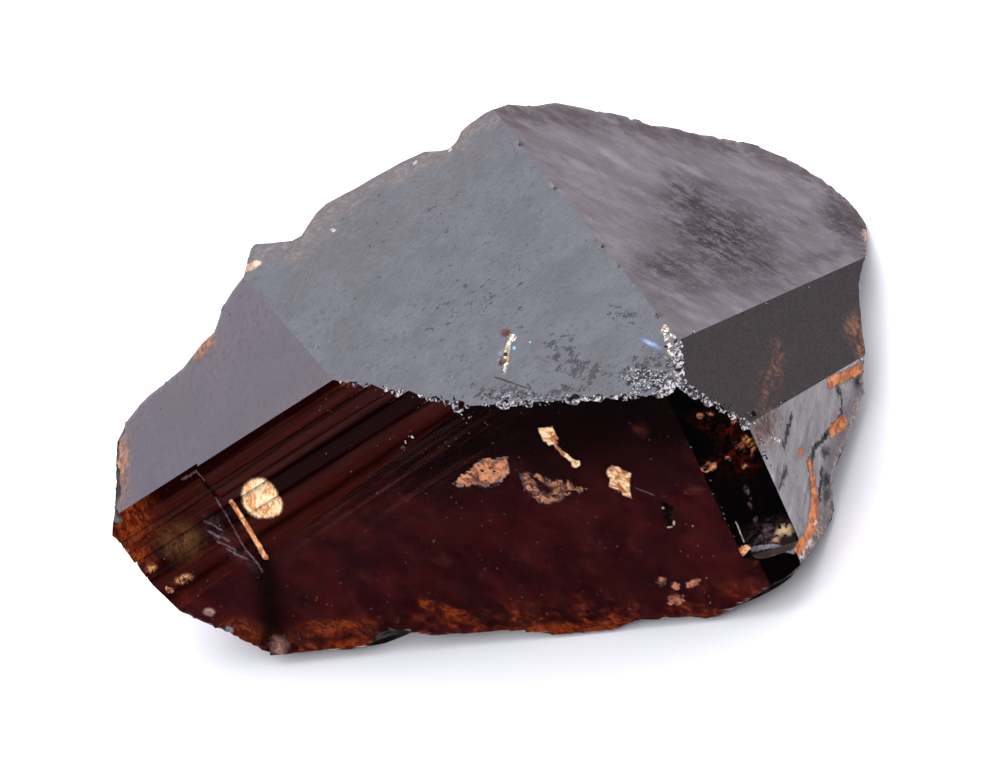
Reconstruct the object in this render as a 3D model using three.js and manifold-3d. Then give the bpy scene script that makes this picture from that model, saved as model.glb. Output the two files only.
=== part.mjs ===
// Cassiterite crystal: a tetragonal crystal snapped in two along its length, lying on the break.
// Millimetres, +Z up, origin in the middle of the flat break that it rests on, +X along its length.
import * as THREE from 'three';
import { mergeVertices } from 'three/addons/utils/BufferGeometryUtils.js';
import Module from 'manifold-3d';

const wasm = await Module();
wasm.setup();

// ---------------------------------------------------------------- driving dimensions

const AXIAL_RATIO = 0.6726; // length of the c axis over the a axis of cassiterite
const CRYSTAL_TURN = [4.5, 6, 5.5]; // degrees about X, then Y, then Z, from lying square on the prism
const HEART = new THREE.Vector3(0.2, -1.0, 12.2); // where every face distance is measured from
const ROUGH_BLOCK = [60, 50, 40]; // blank that the faces are cut from
const SLAB = 80; // side of the cube that cuts one face

// Each face is a plane of the crystal lattice: its Miller index, its distance from HEART, and how far
// it leans off the ideal plane, in degrees about the c axis (turn) and towards the +c end (dip).
const FACES = {
  top: { index: [1, -1, 0], distance: 5.7, turn: -1.5, dip: -3.5 },
  left: { index: [1, -1, -1], distance: 9.1, turn: -1.0, dip: 4.0 },
  backRight: { index: [1, -1, 1], distance: 9.9, turn: 1.0, dip: 0 },
  charcoal: { index: [1, 0, 1], distance: 13.45, turn: 0, dip: -0.5 },
  front: { index: [1, 1, -1], distance: 7.15, turn: 0.5, dip: 0.5 },
  striated: { index: [1, 0, -1], distance: 7.85, turn: 1.5, dip: 0.5 },
  ledgePrism: { index: [1, 1, 0], distance: 15.9, turn: 0, dip: 0 },
  right: { index: [1, 1, 1], distance: 16.3, turn: 0, dip: 1.0 },
  backShoulder: { index: [0, -1, 0], distance: 14.4, turn: 0, dip: 0 },
  backPrism: { index: [-1, -1, 0], distance: 16.8, turn: 0, dip: 5.0 },
  backCorner: { index: [-1, -1, 1], distance: 25.9, turn: 0, dip: 0 },
  leftTip: { index: [0, -1, -1], distance: 19.85, turn: 0, dip: 0 },
};
// The upper part of the black prism face, set back from the ledge below it.
const SET_BACK_FACE = { blackPrism: { index: [1, 1, 0], distance: 15.3, turn: 0, dip: 0 } };

// The ragged line where the faces end at the break, anticlockwise from the front left: x, y, height.
const BREAK_LINE = [
  [-18.3, 5.3, 0.9], [-15.4, 2.8, 0.85], [-14.8, 2.2, 0.7], [-13.9, 1.5, 0.7], [-13.2, 0.9, 1.2],
  [-12.7, 0.5, 1.6], [-11.8, -0.3, 2.0], [-11.1, -0.9, 1.5], [-10.5, -1.4, 1.1], [-6.8, -4.6, 1.0],
  [-4.7, -6.4, 0.2], [-1.9, -8.8, 0.15],
  [-1.1, -9.5, 0.7], [1.8, -12.0, 0.6], [2.7, -12.8, 0.2], [4.2, -14.0, 1.0], [5.5, -15.15, 1.8],
  [6.8, -15.6, 2.1], [7.8, -15.5, 2.1], [8.6, -14.6, 1.6], [9.2, -13.8, 1.3], [10.6, -11.9, 0.5],
  [11.3, -11.0, 0.5], [12.2, -10.0, 1.7], [14.0, -7.7, 1.4], [16.3, -4.8, 1.1], [16.9, -4.2, 2.0],
  [18.7, 0.0, 2.6], [19.5, 2.0, 2.6], [20.5, 4.2, 2.0], [21.4, 7.4, 0.7], [21.9, 9.1, 0.3],
  [21.9, 11.5, 0.2], [21.2, 14.0, 0.9], [19.8, 16.4, 2.5], [17.5, 17.4, 3.4], [12.0, 17.0, 2.2],
  [6.0, 16.6, 1.6], [-1.0, 16.6, 3.0], [-8.0, 16.8, 2.0], [-13.0, 17.0, 3.6], [-17.0, 17.4, 5.0],
  [-19.8, 16.0, 6.6], [-21.9, 13.4, 7.6], [-21.9, 12.0, 8.4], [-21.8, 11.0, 7.2], [-21.6, 9.7, 6.0],
  [-20.8, 7.5, 4.1], [-19.9, 6.7, 3.1], [-19.1, 6.0, 1.6],
];
const STATION_GAP = 0.85; // spacing of the points around the break line
const UNDERCUT = [0.45, 0.95]; // inset of the resting face: a fixed part, and a part per mm of height
const UNDERCUT_MOST = 2.8;
const UNDERCUT_TOWARDS = new THREE.Vector3(4, 6, 0); // the spot that the underside draws in towards
const UNDERCUT_RINGS = 5;
const UNDERCUT_GRAIN = 0.28; // roughness of the broken underside
const FLARE = 3; // how far past the break line the underside is carried on, to meet the faces

// Fine growth steps on the striated face: distance from its upper edge, width and depth.
const STRIATIONS = [
  [0.55, 0.5, 0.12], [1.25, 0.7, 0.2], [2.05, 0.45, 0.14], [2.6, 0.9, 0.26], [3.6, 0.6, 0.16],
];
const STRIATION_LENGTH = 60;
const LIP = 0.2; // how far a cutter stands clear of the face that it cuts

// Layers flaked off the faces: what lies left of the line from one point to the other is set back.
const FLAKES = [
  { face: 'front', from: [-18.32, 5.3, 0.96], to: [-15.66, 3.13, 8.15], depth: 0.28 },
  { face: 'striated', from: [-15.66, 3.13, 8.15], to: [-15.78, 6.93, 12.64], depth: 0.1 },
  { face: 'ledgePrism', from: [5.44, -15.04, 4.7], to: [8.31, -14.99, 3.4], depth: 0.6 },
];

// The ragged rim where the back of the crystal broke away, from left to right: x, y, height.
const BACK_RIM = [
  [-22.0, 15.3, 9.3], [-19.07, 15.47, 11.44], [-18.37, 15.35, 11.93], [-16.75, 14.67, 13.03],
  [-15.82, 14.12, 13.64], [-14.76, 13.3, 14.32], [-13.65, 12.41, 15.03], [-12.09, 11.83, 16.09],
  [-11.18, 11.28, 16.69], [-10.6, 11.34, 17.13], [-10.06, 11.48, 17.54], [-9.02, 11.26, 18.27],
  [-8.1, 10.9, 18.9], [-7.57, 11.82, 18.9], [-6.98, 12.7, 18.92], [-6.61, 12.85, 18.91],
  [-5.91, 12.23, 18.84], [-4.85, 11.38, 18.75], [-4.3, 11.34, 18.72], [-3.67, 11.85, 18.72],
  [-2.96, 12.4, 18.71], [-2.29, 12.66, 18.69], [-0.66, 12.49, 18.6], [0.83, 12.44, 18.53],
  [2.29, 12.33, 18.45], [3.69, 12.06, 18.37], [4.43, 11.4, 18.3], [4.85, 11.19, 18.27],
  [5.37, 11.39, 18.26], [5.89, 11.92, 18.26], [6.73, 12.13, 18.23], [7.54, 12.26, 18.19],
  [8.44, 12.4, 17.85], [8.91, 13.46, 16.99], [9.95, 14.03, 15.62], [10.62, 14.78, 14.74],
  [11.17, 15.32, 14.02], [12.15, 15.61, 12.71], [14.08, 15.91, 10.19], [14.94, 15.63, 9.06],
  [15.98, 16.07, 7.69], [16.92, 16.08, 6.46], [17.96, 16.52, 5.09], [18.98, 16.82, 3.75],
  [22.0, 17.5, 0.0],
];
const BACK_FALL = [0, 0.76, -0.65]; // the way that the broken back falls away from that rim

// The shoulder broken off behind the left face: a point on its edge, that edge's direction, its facing.
const SHOULDER = { at: [-10.8, 11.4, 17.3], along: [-0.76, 0.44, -0.51], facing: [0.15, 0.88, 0.46] };
const SHOULDER_SIZE = [24, 30, 16];

// Shell-shaped hollows in the broken sides: centre and radius of the sphere that each is part of.
const SHELL_BREAKS = [
  { centre: [2, 26.5, 5], radius: 12.5 },
  { centre: [-13, 25, 12], radius: 10.5 },
  { centre: [14, 24, 2], radius: 9 },
  { centre: [-21, 20, -3], radius: 9.5 },
  { centre: [10, 7, -23.2], radius: 24 },
  { centre: [-9, 8, -15.3], radius: 16 },
];
const SPHERE_GRID = [40, 28]; // facets of such a sphere, around and from pole to pole
const SPHERE_TILT = 0.4;

// Crumbled edges: the two faces that meet, the faces that end the edge, and the crumbs along it.
const CRUMBLED_EDGES = [
  { faces: ['top', 'striated'], ends: ['left', 'front'], count: 9, size: 0.42 },
  { faces: ['top', 'front'], ends: ['striated', 'blackPrism'], count: 14, size: 0.45 },
  { faces: ['top', 'charcoal'], ends: ['backRight', 'blackPrism'], count: 6, size: 0.7 },
  { faces: ['charcoal', 'blackPrism'], ends: ['top', 'right'], count: 8, size: 0.6 },
  { faces: ['backRight', 'backPrism'], ends: ['backShoulder', 'backCorner'], count: 9, size: 0.5 },
  { faces: ['left', 'leftTip'], ends: ['striated', 'backPrism'], count: 7, size: 0.7 },
  { faces: ['top', 'backRight'], ends: ['charcoal', 'backShoulder'], count: 6, size: 0.16 },
];

const CRUMB_STAND_OFF = 0.5; // how far outside the edge a crumb is centred, over its size
const CRUMB_SPREAD = [0.5, 1.5]; // smallest and largest crumb over the size given for the edge
const CRUMB_JITTER = 0.7; // how far a crumb strays from its even place, over the spacing
const CRUMB_STRETCH = [[1.0, 1.6], [0.7, 1.2], [0.7, 1.1]]; // range of its three axes over its size

// Notches and pits that stand by themselves: centre and radius.
const NOTCHES = [
  [0.9, -6.9, 17.75, 0.3], [1.3, -6.5, 17.75, 0.25], [7.2, -15.9, 17.2, 0.75],
  [6.3, -16.6, 16.9, 0.6], [3.7, -13.9, 8.6, 0.5],
];

const LOOK = { color: 0x2b1d1e, roughness: 0.25, metalness: 0 };

// ---------------------------------------------------------------- small helpers

const vector = (xyz) => new THREE.Vector3(...xyz);

const PRIME = 2 ** 31 - 1;
const MULTIPLIER = 7 ** 5;
let seed = 11;

// The next of a fixed row of random numbers, between two bounds.
function random(low, high) {
  seed = (seed * MULTIPLIER) % PRIME;
  return low + ((high - low) * seed) / PRIME;
}

// A smooth bumpy field between about -1 and 1, with lumps of about 2 mm.
function lumps(x, y, z) {
  return (
    (Math.sin(1.9 * x + 1.3 * y + 0.4) +
      Math.sin(2.7 * y - 1.1 * z + 1.7) +
      Math.sin(3.1 * z + 2.3 * x + 2.9)) / 3
  );
}

// A closed three.js geometry as a solid that can be joined and cut.
function solidOf(geometry) {
  geometry.deleteAttribute('normal');
  geometry.deleteAttribute('uv');
  const merged = mergeVertices(geometry, 1e-5);
  const vertProperties = new Float32Array(merged.attributes.position.array);
  const triVerts = new Uint32Array(merged.index.array);
  return new wasm.Manifold(new wasm.Mesh({ numProp: 3, vertProperties, triVerts }));
}

// A box of the given size, its local axes turned to three directions at right angles.
function turnedBox(size, centre, xAxis, yAxis, zAxis) {
  const box = new THREE.BoxGeometry(...size);
  const place = new THREE.Matrix4().makeBasis(xAxis, yAxis, zAxis).setPosition(centre);
  return solidOf(box.applyMatrix4(place));
}

// ---------------------------------------------------------------- crystal faces

// The outward normal of a lattice plane, with the c axis along X and the top prism face along Z.
function faceNormal({ index: [h, k, l], turn, dip }) {
  const normal = new THREE.Vector3(l / AXIAL_RATIO, -(h + k) / Math.SQRT2, (h - k) / Math.SQRT2);
  normal.normalize();
  const around = new THREE.Vector3(1, 0, 0).cross(normal).normalize();
  const along = normal.clone().cross(around);
  normal.addScaledVector(around, THREE.MathUtils.degToRad(turn));
  normal.addScaledVector(along, THREE.MathUtils.degToRad(dip));
  const [x, y, z] = CRYSTAL_TURN.map(THREE.MathUtils.degToRad);
  return normal.normalize().applyEuler(new THREE.Euler(x, y, z, 'ZYX'));
}

const planes = {};
for (const [name, face] of Object.entries({ ...FACES, ...SET_BACK_FACE })) {
  const normal = faceNormal(face);
  planes[name] = { normal, constant: face.distance + normal.dot(HEART) };
}

// The point where three faces meet.
function corner(a, b, c) {
  const [p, q, r] = [planes[a], planes[b], planes[c]];
  const point = q.normal.clone().cross(r.normal).multiplyScalar(p.constant);
  point.addScaledVector(r.normal.clone().cross(p.normal), q.constant);
  point.addScaledVector(p.normal.clone().cross(q.normal), r.constant);
  return point.divideScalar(p.normal.dot(q.normal.clone().cross(r.normal)));
}

// The rough block with everything beyond each face cut away.
function facetedBlock() {
  let crystal = solidOf(new THREE.BoxGeometry(...ROUGH_BLOCK).translate(...HEART.toArray()));
  for (const name of Object.keys(FACES)) {
    const { normal, constant } = planes[name];
    const side = new THREE.Vector3(0, 1, 0).cross(normal).normalize();
    const other = normal.clone().cross(side);
    const centre = normal.clone().multiplyScalar(constant + SLAB / 2);
    crystal = crystal.subtract(turnedBox([SLAB, SLAB, SLAB], centre, side, other, normal));
  }
  return crystal;
}

// ---------------------------------------------------------------- the break that it rests on

// Evenly spaced points along the closed break line.
function breakStations() {
  const line = new THREE.CurvePath();
  BREAK_LINE.forEach((start, i) => {
    const end = BREAK_LINE[(i + 1) % BREAK_LINE.length];
    line.add(new THREE.LineCurve3(vector(start), vector(end)));
  });
  const count = Math.round(line.getLength() / STATION_GAP);
  return line.getSpacedPoints(count).slice(0, count);
}

// A bowl whose flat bottom is the resting face and whose rough side meets the faces at the break line.
function brokenBowl() {
  const stations = breakStations();
  const rings = UNDERCUT_RINGS + 2;
  const tube = new THREE.CylinderGeometry(1, 1, 1, stations.length, rings).rotateX(Math.PI / 2);
  const position = tube.attributes.position;
  for (let i = 0; i < position.count; i += 1) {
    const [x, y, z] = [position.getX(i), position.getY(i), position.getZ(i)];
    const ring = Math.round((z + 0.5) * rings);
    const turn = Math.atan2(y, x) / (2 * Math.PI) + 1.25;
    const station = stations[Math.round(turn * stations.length) % stations.length];
    const onAxis = Math.hypot(x, y) < 0.5;
    const point = onAxis ? new THREE.Vector3(0, 0, ring ? SLAB : 0) : bowlPoint(station, ring);
    position.setXYZ(i, point.x, point.y, point.z);
  }
  return solidOf(tube);
}

// One point of the bowl: ring 0 is the foot, then the undercut, the break line, the flare and the top.
function bowlPoint(station, ring) {
  const out = station.clone().sub(UNDERCUT_TOWARDS).setZ(0).normalize();
  const inset = Math.min(UNDERCUT[0] + UNDERCUT[1] * station.z, UNDERCUT_MOST);
  const climb = Math.min(ring, UNDERCUT_RINGS) / UNDERCUT_RINGS;
  const point = station.clone().addScaledVector(out, inset * (climb - 1));
  point.z = station.z * climb;
  if (ring > 0 && ring < UNDERCUT_RINGS) {
    const rough = UNDERCUT_GRAIN * Math.min(1, station.z / 2);
    point.addScaledVector(out, rough * lumps(station.x, station.y, 3 * point.z));
  }
  if (ring > UNDERCUT_RINGS) {
    point.addScaledVector(out, FLARE);
    point.z += (FLARE * station.z) / inset;
  }
  if (ring > UNDERCUT_RINGS + 1) {
    point.z = SLAB;
  }
  return point;
}

// ---------------------------------------------------------------- damage and growth marks

// A wedge-shaped step along the striated face, parallel to its upper edge.
function striation([distance, width, depth]) {
  const { normal } = planes.striated;
  const zone = planes.left.normal.clone().cross(normal).normalize();
  const across = normal.clone().cross(zone);
  if (across.dot(planes.left.normal) > 0) {
    across.negate();
  }
  const run = across.clone().cross(normal);
  const wide = width * (1 + LIP / depth);
  const wedge = new THREE.Shape([
    new THREE.Vector2(0, -depth),
    new THREE.Vector2(wide, LIP),
    new THREE.Vector2(0, LIP),
  ]);
  const bar = new THREE.ExtrudeGeometry(wedge, { depth: STRIATION_LENGTH, bevelEnabled: false });
  bar.translate(distance, 0, -STRIATION_LENGTH / 2);
  const place = new THREE.Matrix4().makeBasis(across, normal, run);
  place.setPosition(corner('top', 'left', 'striated'));
  return solidOf(bar.applyMatrix4(place));
}

// The layer that a flake took off one face, on the left of the line between two points.
function flake({ face, from, to, depth }) {
  const { normal } = planes[face];
  const start = vector(from);
  const line = vector(to).sub(start);
  const left = normal.clone().cross(line).normalize();
  const run = left.clone().cross(normal);
  const thick = depth + 1;
  const centre = start.addScaledVector(line, 0.5).addScaledVector(left, SLAB / 8);
  centre.addScaledVector(normal, planes[face].constant - normal.dot(centre) + thick / 2 - depth);
  return turnedBox([SLAB / 4, SLAB / 2, thick], centre, left, run.negate(), normal);
}

// Everything beyond the ragged rim, swept along the fall of the broken back.
function brokenBack() {
  const fall = vector(BACK_FALL).normalize();
  const across = new THREE.Vector3(1, 0, 0);
  const up = across.clone().cross(fall);
  const outline = BACK_RIM.map((xyz) => {
    const point = vector(xyz);
    return new THREE.Vector2(point.dot(across), point.dot(up));
  });
  outline.push(new THREE.Vector2(SLAB / 2, 0), new THREE.Vector2(SLAB / 2, SLAB / 2));
  outline.push(new THREE.Vector2(-SLAB / 2, SLAB / 2), new THREE.Vector2(-SLAB / 2, 0));
  const shape = new THREE.Shape(outline);
  const sweep = new THREE.ExtrudeGeometry(shape, { depth: SLAB, bevelEnabled: false });
  sweep.translate(0, 0, -SLAB / 2);
  return solidOf(sweep.applyMatrix4(new THREE.Matrix4().makeBasis(across, up, fall.negate())));
}

// The block missing behind the left face.
function shoulderBreak() {
  const along = vector(SHOULDER.along).normalize();
  const facing = vector(SHOULDER.facing);
  facing.addScaledVector(along, -facing.dot(along)).normalize();
  const third = facing.clone().cross(along);
  const centre = vector(SHOULDER.at).addScaledVector(along, SHOULDER_SIZE[0] / 2);
  centre.addScaledVector(facing, SHOULDER_SIZE[2] / 2);
  return turnedBox(SHOULDER_SIZE, centre, along, third, facing);
}

// The sphere that a shell-shaped break is part of, its poles turned off the vertical.
function shellBreak({ centre, radius }) {
  const sphere = new THREE.SphereGeometry(radius, SPHERE_GRID[0], SPHERE_GRID[1]);
  return solidOf(sphere.rotateX(SPHERE_TILT).translate(...centre));
}

// A small angular crumb, turned at random.
function crumb(centre, size) {
  const shape = new THREE.IcosahedronGeometry(size, 0);
  shape.scale(...CRUMB_STRETCH.map(([low, high]) => random(low, high)));
  shape.rotateX(random(0, Math.PI)).rotateY(random(0, Math.PI)).rotateZ(random(0, Math.PI));
  return solidOf(shape.translate(centre.x, centre.y, centre.z));
}

// Crumbs of mixed size, spaced along the edge where two faces meet.
function crumbledEdge({ faces: [a, b], ends: [first, last], count, size }) {
  const start = corner(a, b, first);
  const end = corner(a, b, last);
  const out = planes[a].normal.clone().add(planes[b].normal).normalize();
  const crumbs = [];
  for (let i = 0; i < count; i += 1) {
    const radius = size * random(...CRUMB_SPREAD);
    const stray = CRUMB_JITTER * random(-0.5, 0.5);
    const place = start.clone().lerp(end, (i + 0.5 + stray) / count);
    place.addScaledVector(out, radius * CRUMB_STAND_OFF);
    crumbs.push(crumb(place, radius));
  }
  return crumbs;
}

// ---------------------------------------------------------------- the crystal

function crystalSolid() {
  let crystal = facetedBlock().intersect(brokenBowl());
  const marks = [
    ...STRIATIONS.map(striation),
    ...FLAKES.map(flake),
    brokenBack(),
    shoulderBreak(),
    ...SHELL_BREAKS.map(shellBreak),
    ...CRUMBLED_EDGES.flatMap(crumbledEdge),
    ...NOTCHES.map(([x, y, z, size]) => crumb(new THREE.Vector3(x, y, z), size)),
  ];
  for (const mark of marks) {
    crystal = crystal.subtract(mark);
  }
  return crystal;
}

function namedMesh(name, solid, look) {
  const { vertProperties, triVerts } = solid.getMesh();
  const geometry = new THREE.BufferGeometry();
  geometry.setAttribute('position', new THREE.BufferAttribute(new Float32Array(vertProperties), 3));
  geometry.setIndex(new THREE.BufferAttribute(new Uint32Array(triVerts), 1));
  geometry.computeVertexNormals();
  const mesh = new THREE.Mesh(geometry, new THREE.MeshStandardMaterial(look));
  mesh.name = name;
  return mesh;
}

const specimen = new THREE.Group();
specimen.add(namedMesh('cassiterite_crystal', crystalSolid(), LOOK));

export default specimen;
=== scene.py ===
"""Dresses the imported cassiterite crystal: its faces and breaks, its inclusions and crumbs, and its studio."""

import logging
import math
from dataclasses import dataclass, field
from enum import Enum
from typing import Callable, Optional, Sequence, Union

import bmesh
import bpy
import numpy as np
from mathutils import Euler, Matrix, Vector, noise
from mathutils.bvhtree import BVHTree
from mathutils.kdtree import KDTree


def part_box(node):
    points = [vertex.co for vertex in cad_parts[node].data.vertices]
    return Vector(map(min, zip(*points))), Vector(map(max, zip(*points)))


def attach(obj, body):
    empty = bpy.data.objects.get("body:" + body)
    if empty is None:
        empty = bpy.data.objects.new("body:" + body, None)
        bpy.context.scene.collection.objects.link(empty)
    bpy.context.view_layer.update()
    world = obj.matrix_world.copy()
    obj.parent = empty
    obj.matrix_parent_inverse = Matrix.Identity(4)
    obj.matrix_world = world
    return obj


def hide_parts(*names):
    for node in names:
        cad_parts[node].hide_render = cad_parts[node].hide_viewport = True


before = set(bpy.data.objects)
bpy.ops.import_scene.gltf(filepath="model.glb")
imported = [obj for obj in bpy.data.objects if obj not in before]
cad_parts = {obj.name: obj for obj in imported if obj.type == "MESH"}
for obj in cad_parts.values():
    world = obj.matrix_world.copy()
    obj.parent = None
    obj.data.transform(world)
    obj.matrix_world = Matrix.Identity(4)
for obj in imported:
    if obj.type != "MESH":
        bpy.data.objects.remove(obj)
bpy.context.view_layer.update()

LOG = logging.getLogger("cassiterite")
NODE = "cassiterite_crystal"
MM = 0.001
NOISE_SEED = 1795483962

Triple = tuple[float, float, float]
Pair = tuple[float, float]
Value = Union["Socket", float]
Colour = tuple[float, float, float, float]


# ---------------------------------------------------------------- the crystal's shape in numbers


class Facet(Enum):
    """The faces of the crystal, and the three kinds of surface that no face covers."""

    TOP = "top"
    LEFT = "left"
    BACK_RIGHT = "backRight"
    CHARCOAL = "charcoal"
    FRONT = "front"
    STRIATED = "striated"
    BLACK = "black"
    RIGHT = "right"
    CRUSHED = "crushed"
    WALL = "wall"
    BROKEN = "broken"


@dataclass(frozen=True)
class Lattice:
    """The crystal lattice as it lies: millimetres, in the frame's axes."""

    axial_ratio: float = 0.6726
    turned: Triple = (4.5, 6.0, 5.5)
    heart: Triple = (0.2, -1.0, 12.2)

    def normal(self, index: Triple, turn: float = 0.0, dip: float = 0.0) -> Vector:
        """The outward normal of a lattice plane.

        Args:
            index: Miller index of the plane.
            turn: degrees that the face leans about the c axis.
            dip: degrees that it leans towards the +c end.

        Returns:
            A unit vector.
        """
        h, k, l = index
        normal = Vector((l / self.axial_ratio, -(h + k) / math.sqrt(2), (h - k) / math.sqrt(2))).normalized()
        around = Vector((1, 0, 0)).cross(normal).normalized()
        along = normal.cross(around)
        normal = (normal + around * math.radians(turn) + along * math.radians(dip)).normalized()
        return Euler([math.radians(a) for a in self.turned], "XYZ").to_matrix() @ normal


@dataclass(frozen=True)
class Plane:
    """A flat face: every point p on it has normal . p = level."""

    normal: Vector
    level: float


def crystal_planes(lattice: Lattice) -> dict[Facet, Plane]:
    """The faces that the crystal still has.

    Args:
        lattice: how the crystal lies.

    Returns:
        Each face's plane, in millimetres.
    """
    table = {
        Facet.TOP: ((1, -1, 0), 5.7, -1.5, -3.5),
        Facet.LEFT: ((1, -1, -1), 9.1, -1.0, 4.0),
        Facet.BACK_RIGHT: ((1, -1, 1), 9.9, 1.0, 0.0),
        Facet.CHARCOAL: ((1, 0, 1), 13.45, 0.0, -0.5),
        Facet.FRONT: ((1, 1, -1), 7.15, 0.5, 0.5),
        Facet.STRIATED: ((1, 0, -1), 7.85, 1.5, 0.5),
        Facet.BLACK: ((1, 1, 0), 15.3, 0.0, 0.0),
        Facet.RIGHT: ((1, 1, 1), 16.3, 0.0, 1.0),
    }
    planes = {}
    for facet, (index, distance, turn, dip) in table.items():
        normal = lattice.normal(index, turn, dip)
        planes[facet] = Plane(normal, distance + normal.dot(Vector(lattice.heart)))
    return planes


def meeting(a: Plane, b: Plane, c: Plane) -> Vector:
    """The point where three faces meet."""
    rows = Matrix((a.normal, b.normal, c.normal))
    return rows.inverted() @ Vector((a.level, b.level, c.level))


@dataclass(frozen=True)
class Viewpoint:
    """Where the camera stands, and the way from its picture to a face."""

    target: Triple = (0.2, -1.0, 12.2)
    distance: float = 500.0
    elevation: float = 36.0
    roll: float = -33.5
    focal: float = 9437.5
    picture: Pair = (1000.0, 767.0)

    def axes(self) -> tuple[Vector, Vector, Vector]:
        """The camera's right, up and backward directions."""
        rise, roll = math.radians(self.elevation), math.radians(self.roll)
        level, lift = Vector((1, 0, 0)), Vector((0, math.sin(rise), math.cos(rise)))
        right = level * math.cos(roll) + lift * math.sin(roll)
        up = lift * math.cos(roll) - level * math.sin(roll)
        return right, up, Vector((0, -math.cos(rise), math.sin(rise)))

    def on(self, plane: Plane, x: float, y: float) -> Vector:
        """The point of a face that the picture shows at (x, y), counted from its top left.

        Args:
            plane: the face.
            x: picture column.
            y: picture row.

        Returns:
            The point, in millimetres.
        """
        right, up, back = self.axes()
        eye = Vector(self.target) + back * self.distance
        ray = right * (x - self.picture[0] / 2) - up * (y - self.picture[1] / 2) - back * self.focal
        return eye + ray * ((plane.level - plane.normal.dot(eye)) / plane.normal.dot(ray))


# ---------------------------------------------------------------- shader maths


class Socket:
    """A node's output, so that shader maths reads as an expression."""

    def __init__(self, recipe: "Recipe", port: bpy.types.NodeSocket) -> None:
        """Wraps one output of a recipe's node."""
        self.recipe, self.port = recipe, port

    def _math(self, operation: str, *values: Value) -> "Socket":
        """One Math node on the given values."""
        return self.recipe.math(operation, *values)

    def __add__(self, other: Value) -> "Socket":
        """Sum."""
        return self._math("ADD", self, other)

    def __sub__(self, other: Value) -> "Socket":
        """Difference."""
        return self._math("SUBTRACT", self, other)

    def __rsub__(self, other: Value) -> "Socket":
        """Difference, the other way round."""
        return self._math("SUBTRACT", other, self)

    def __mul__(self, other: Value) -> "Socket":
        """Product."""
        return self._math("MULTIPLY", self, other)

    def __truediv__(self, other: Value) -> "Socket":
        """Quotient."""
        return self._math("DIVIDE", self, other)

    def __pow__(self, other: Value) -> "Socket":
        """Power."""
        return self._math("POWER", self, other)

    __radd__ = __add__
    __rmul__ = __mul__

    def absolute(self) -> "Socket":
        """The value without its sign."""
        return self._math("ABSOLUTE", self)

    def least(self, other: Value) -> "Socket":
        """The smaller of the two."""
        return self._math("MINIMUM", self, other)

    def most(self, other: Value) -> "Socket":
        """The larger of the two."""
        return self._math("MAXIMUM", self, other)

    def step(self, low: float, high: float, into: Pair = (0.0, 1.0)) -> "Socket":
        """A smooth step from one bound to the other.

        Args:
            low: where the step starts.
            high: where it ends.
            into: the values at both ends.

        Returns:
            The stepped value.
        """
        sockets = {"Value": self, "From Min": low, "From Max": high, "To Min": into[0], "To Max": into[1]}
        settings = {"interpolation_type": "SMOOTHSTEP"}
        return self.recipe.node("ShaderNodeMapRange", settings, sockets)["Result"]


def linear(colour: str) -> Colour:
    """A screen colour such as "6f767f" as scene-linear values."""
    channels = [int(colour[i : i + 2], 16) / 255 for i in (0, 2, 4)]
    bent = [c / 12.92 if c <= 0.04045 else ((c + 0.055) / 1.055) ** 2.4 for c in channels]
    return bent[0], bent[1], bent[2], 1.0


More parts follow.
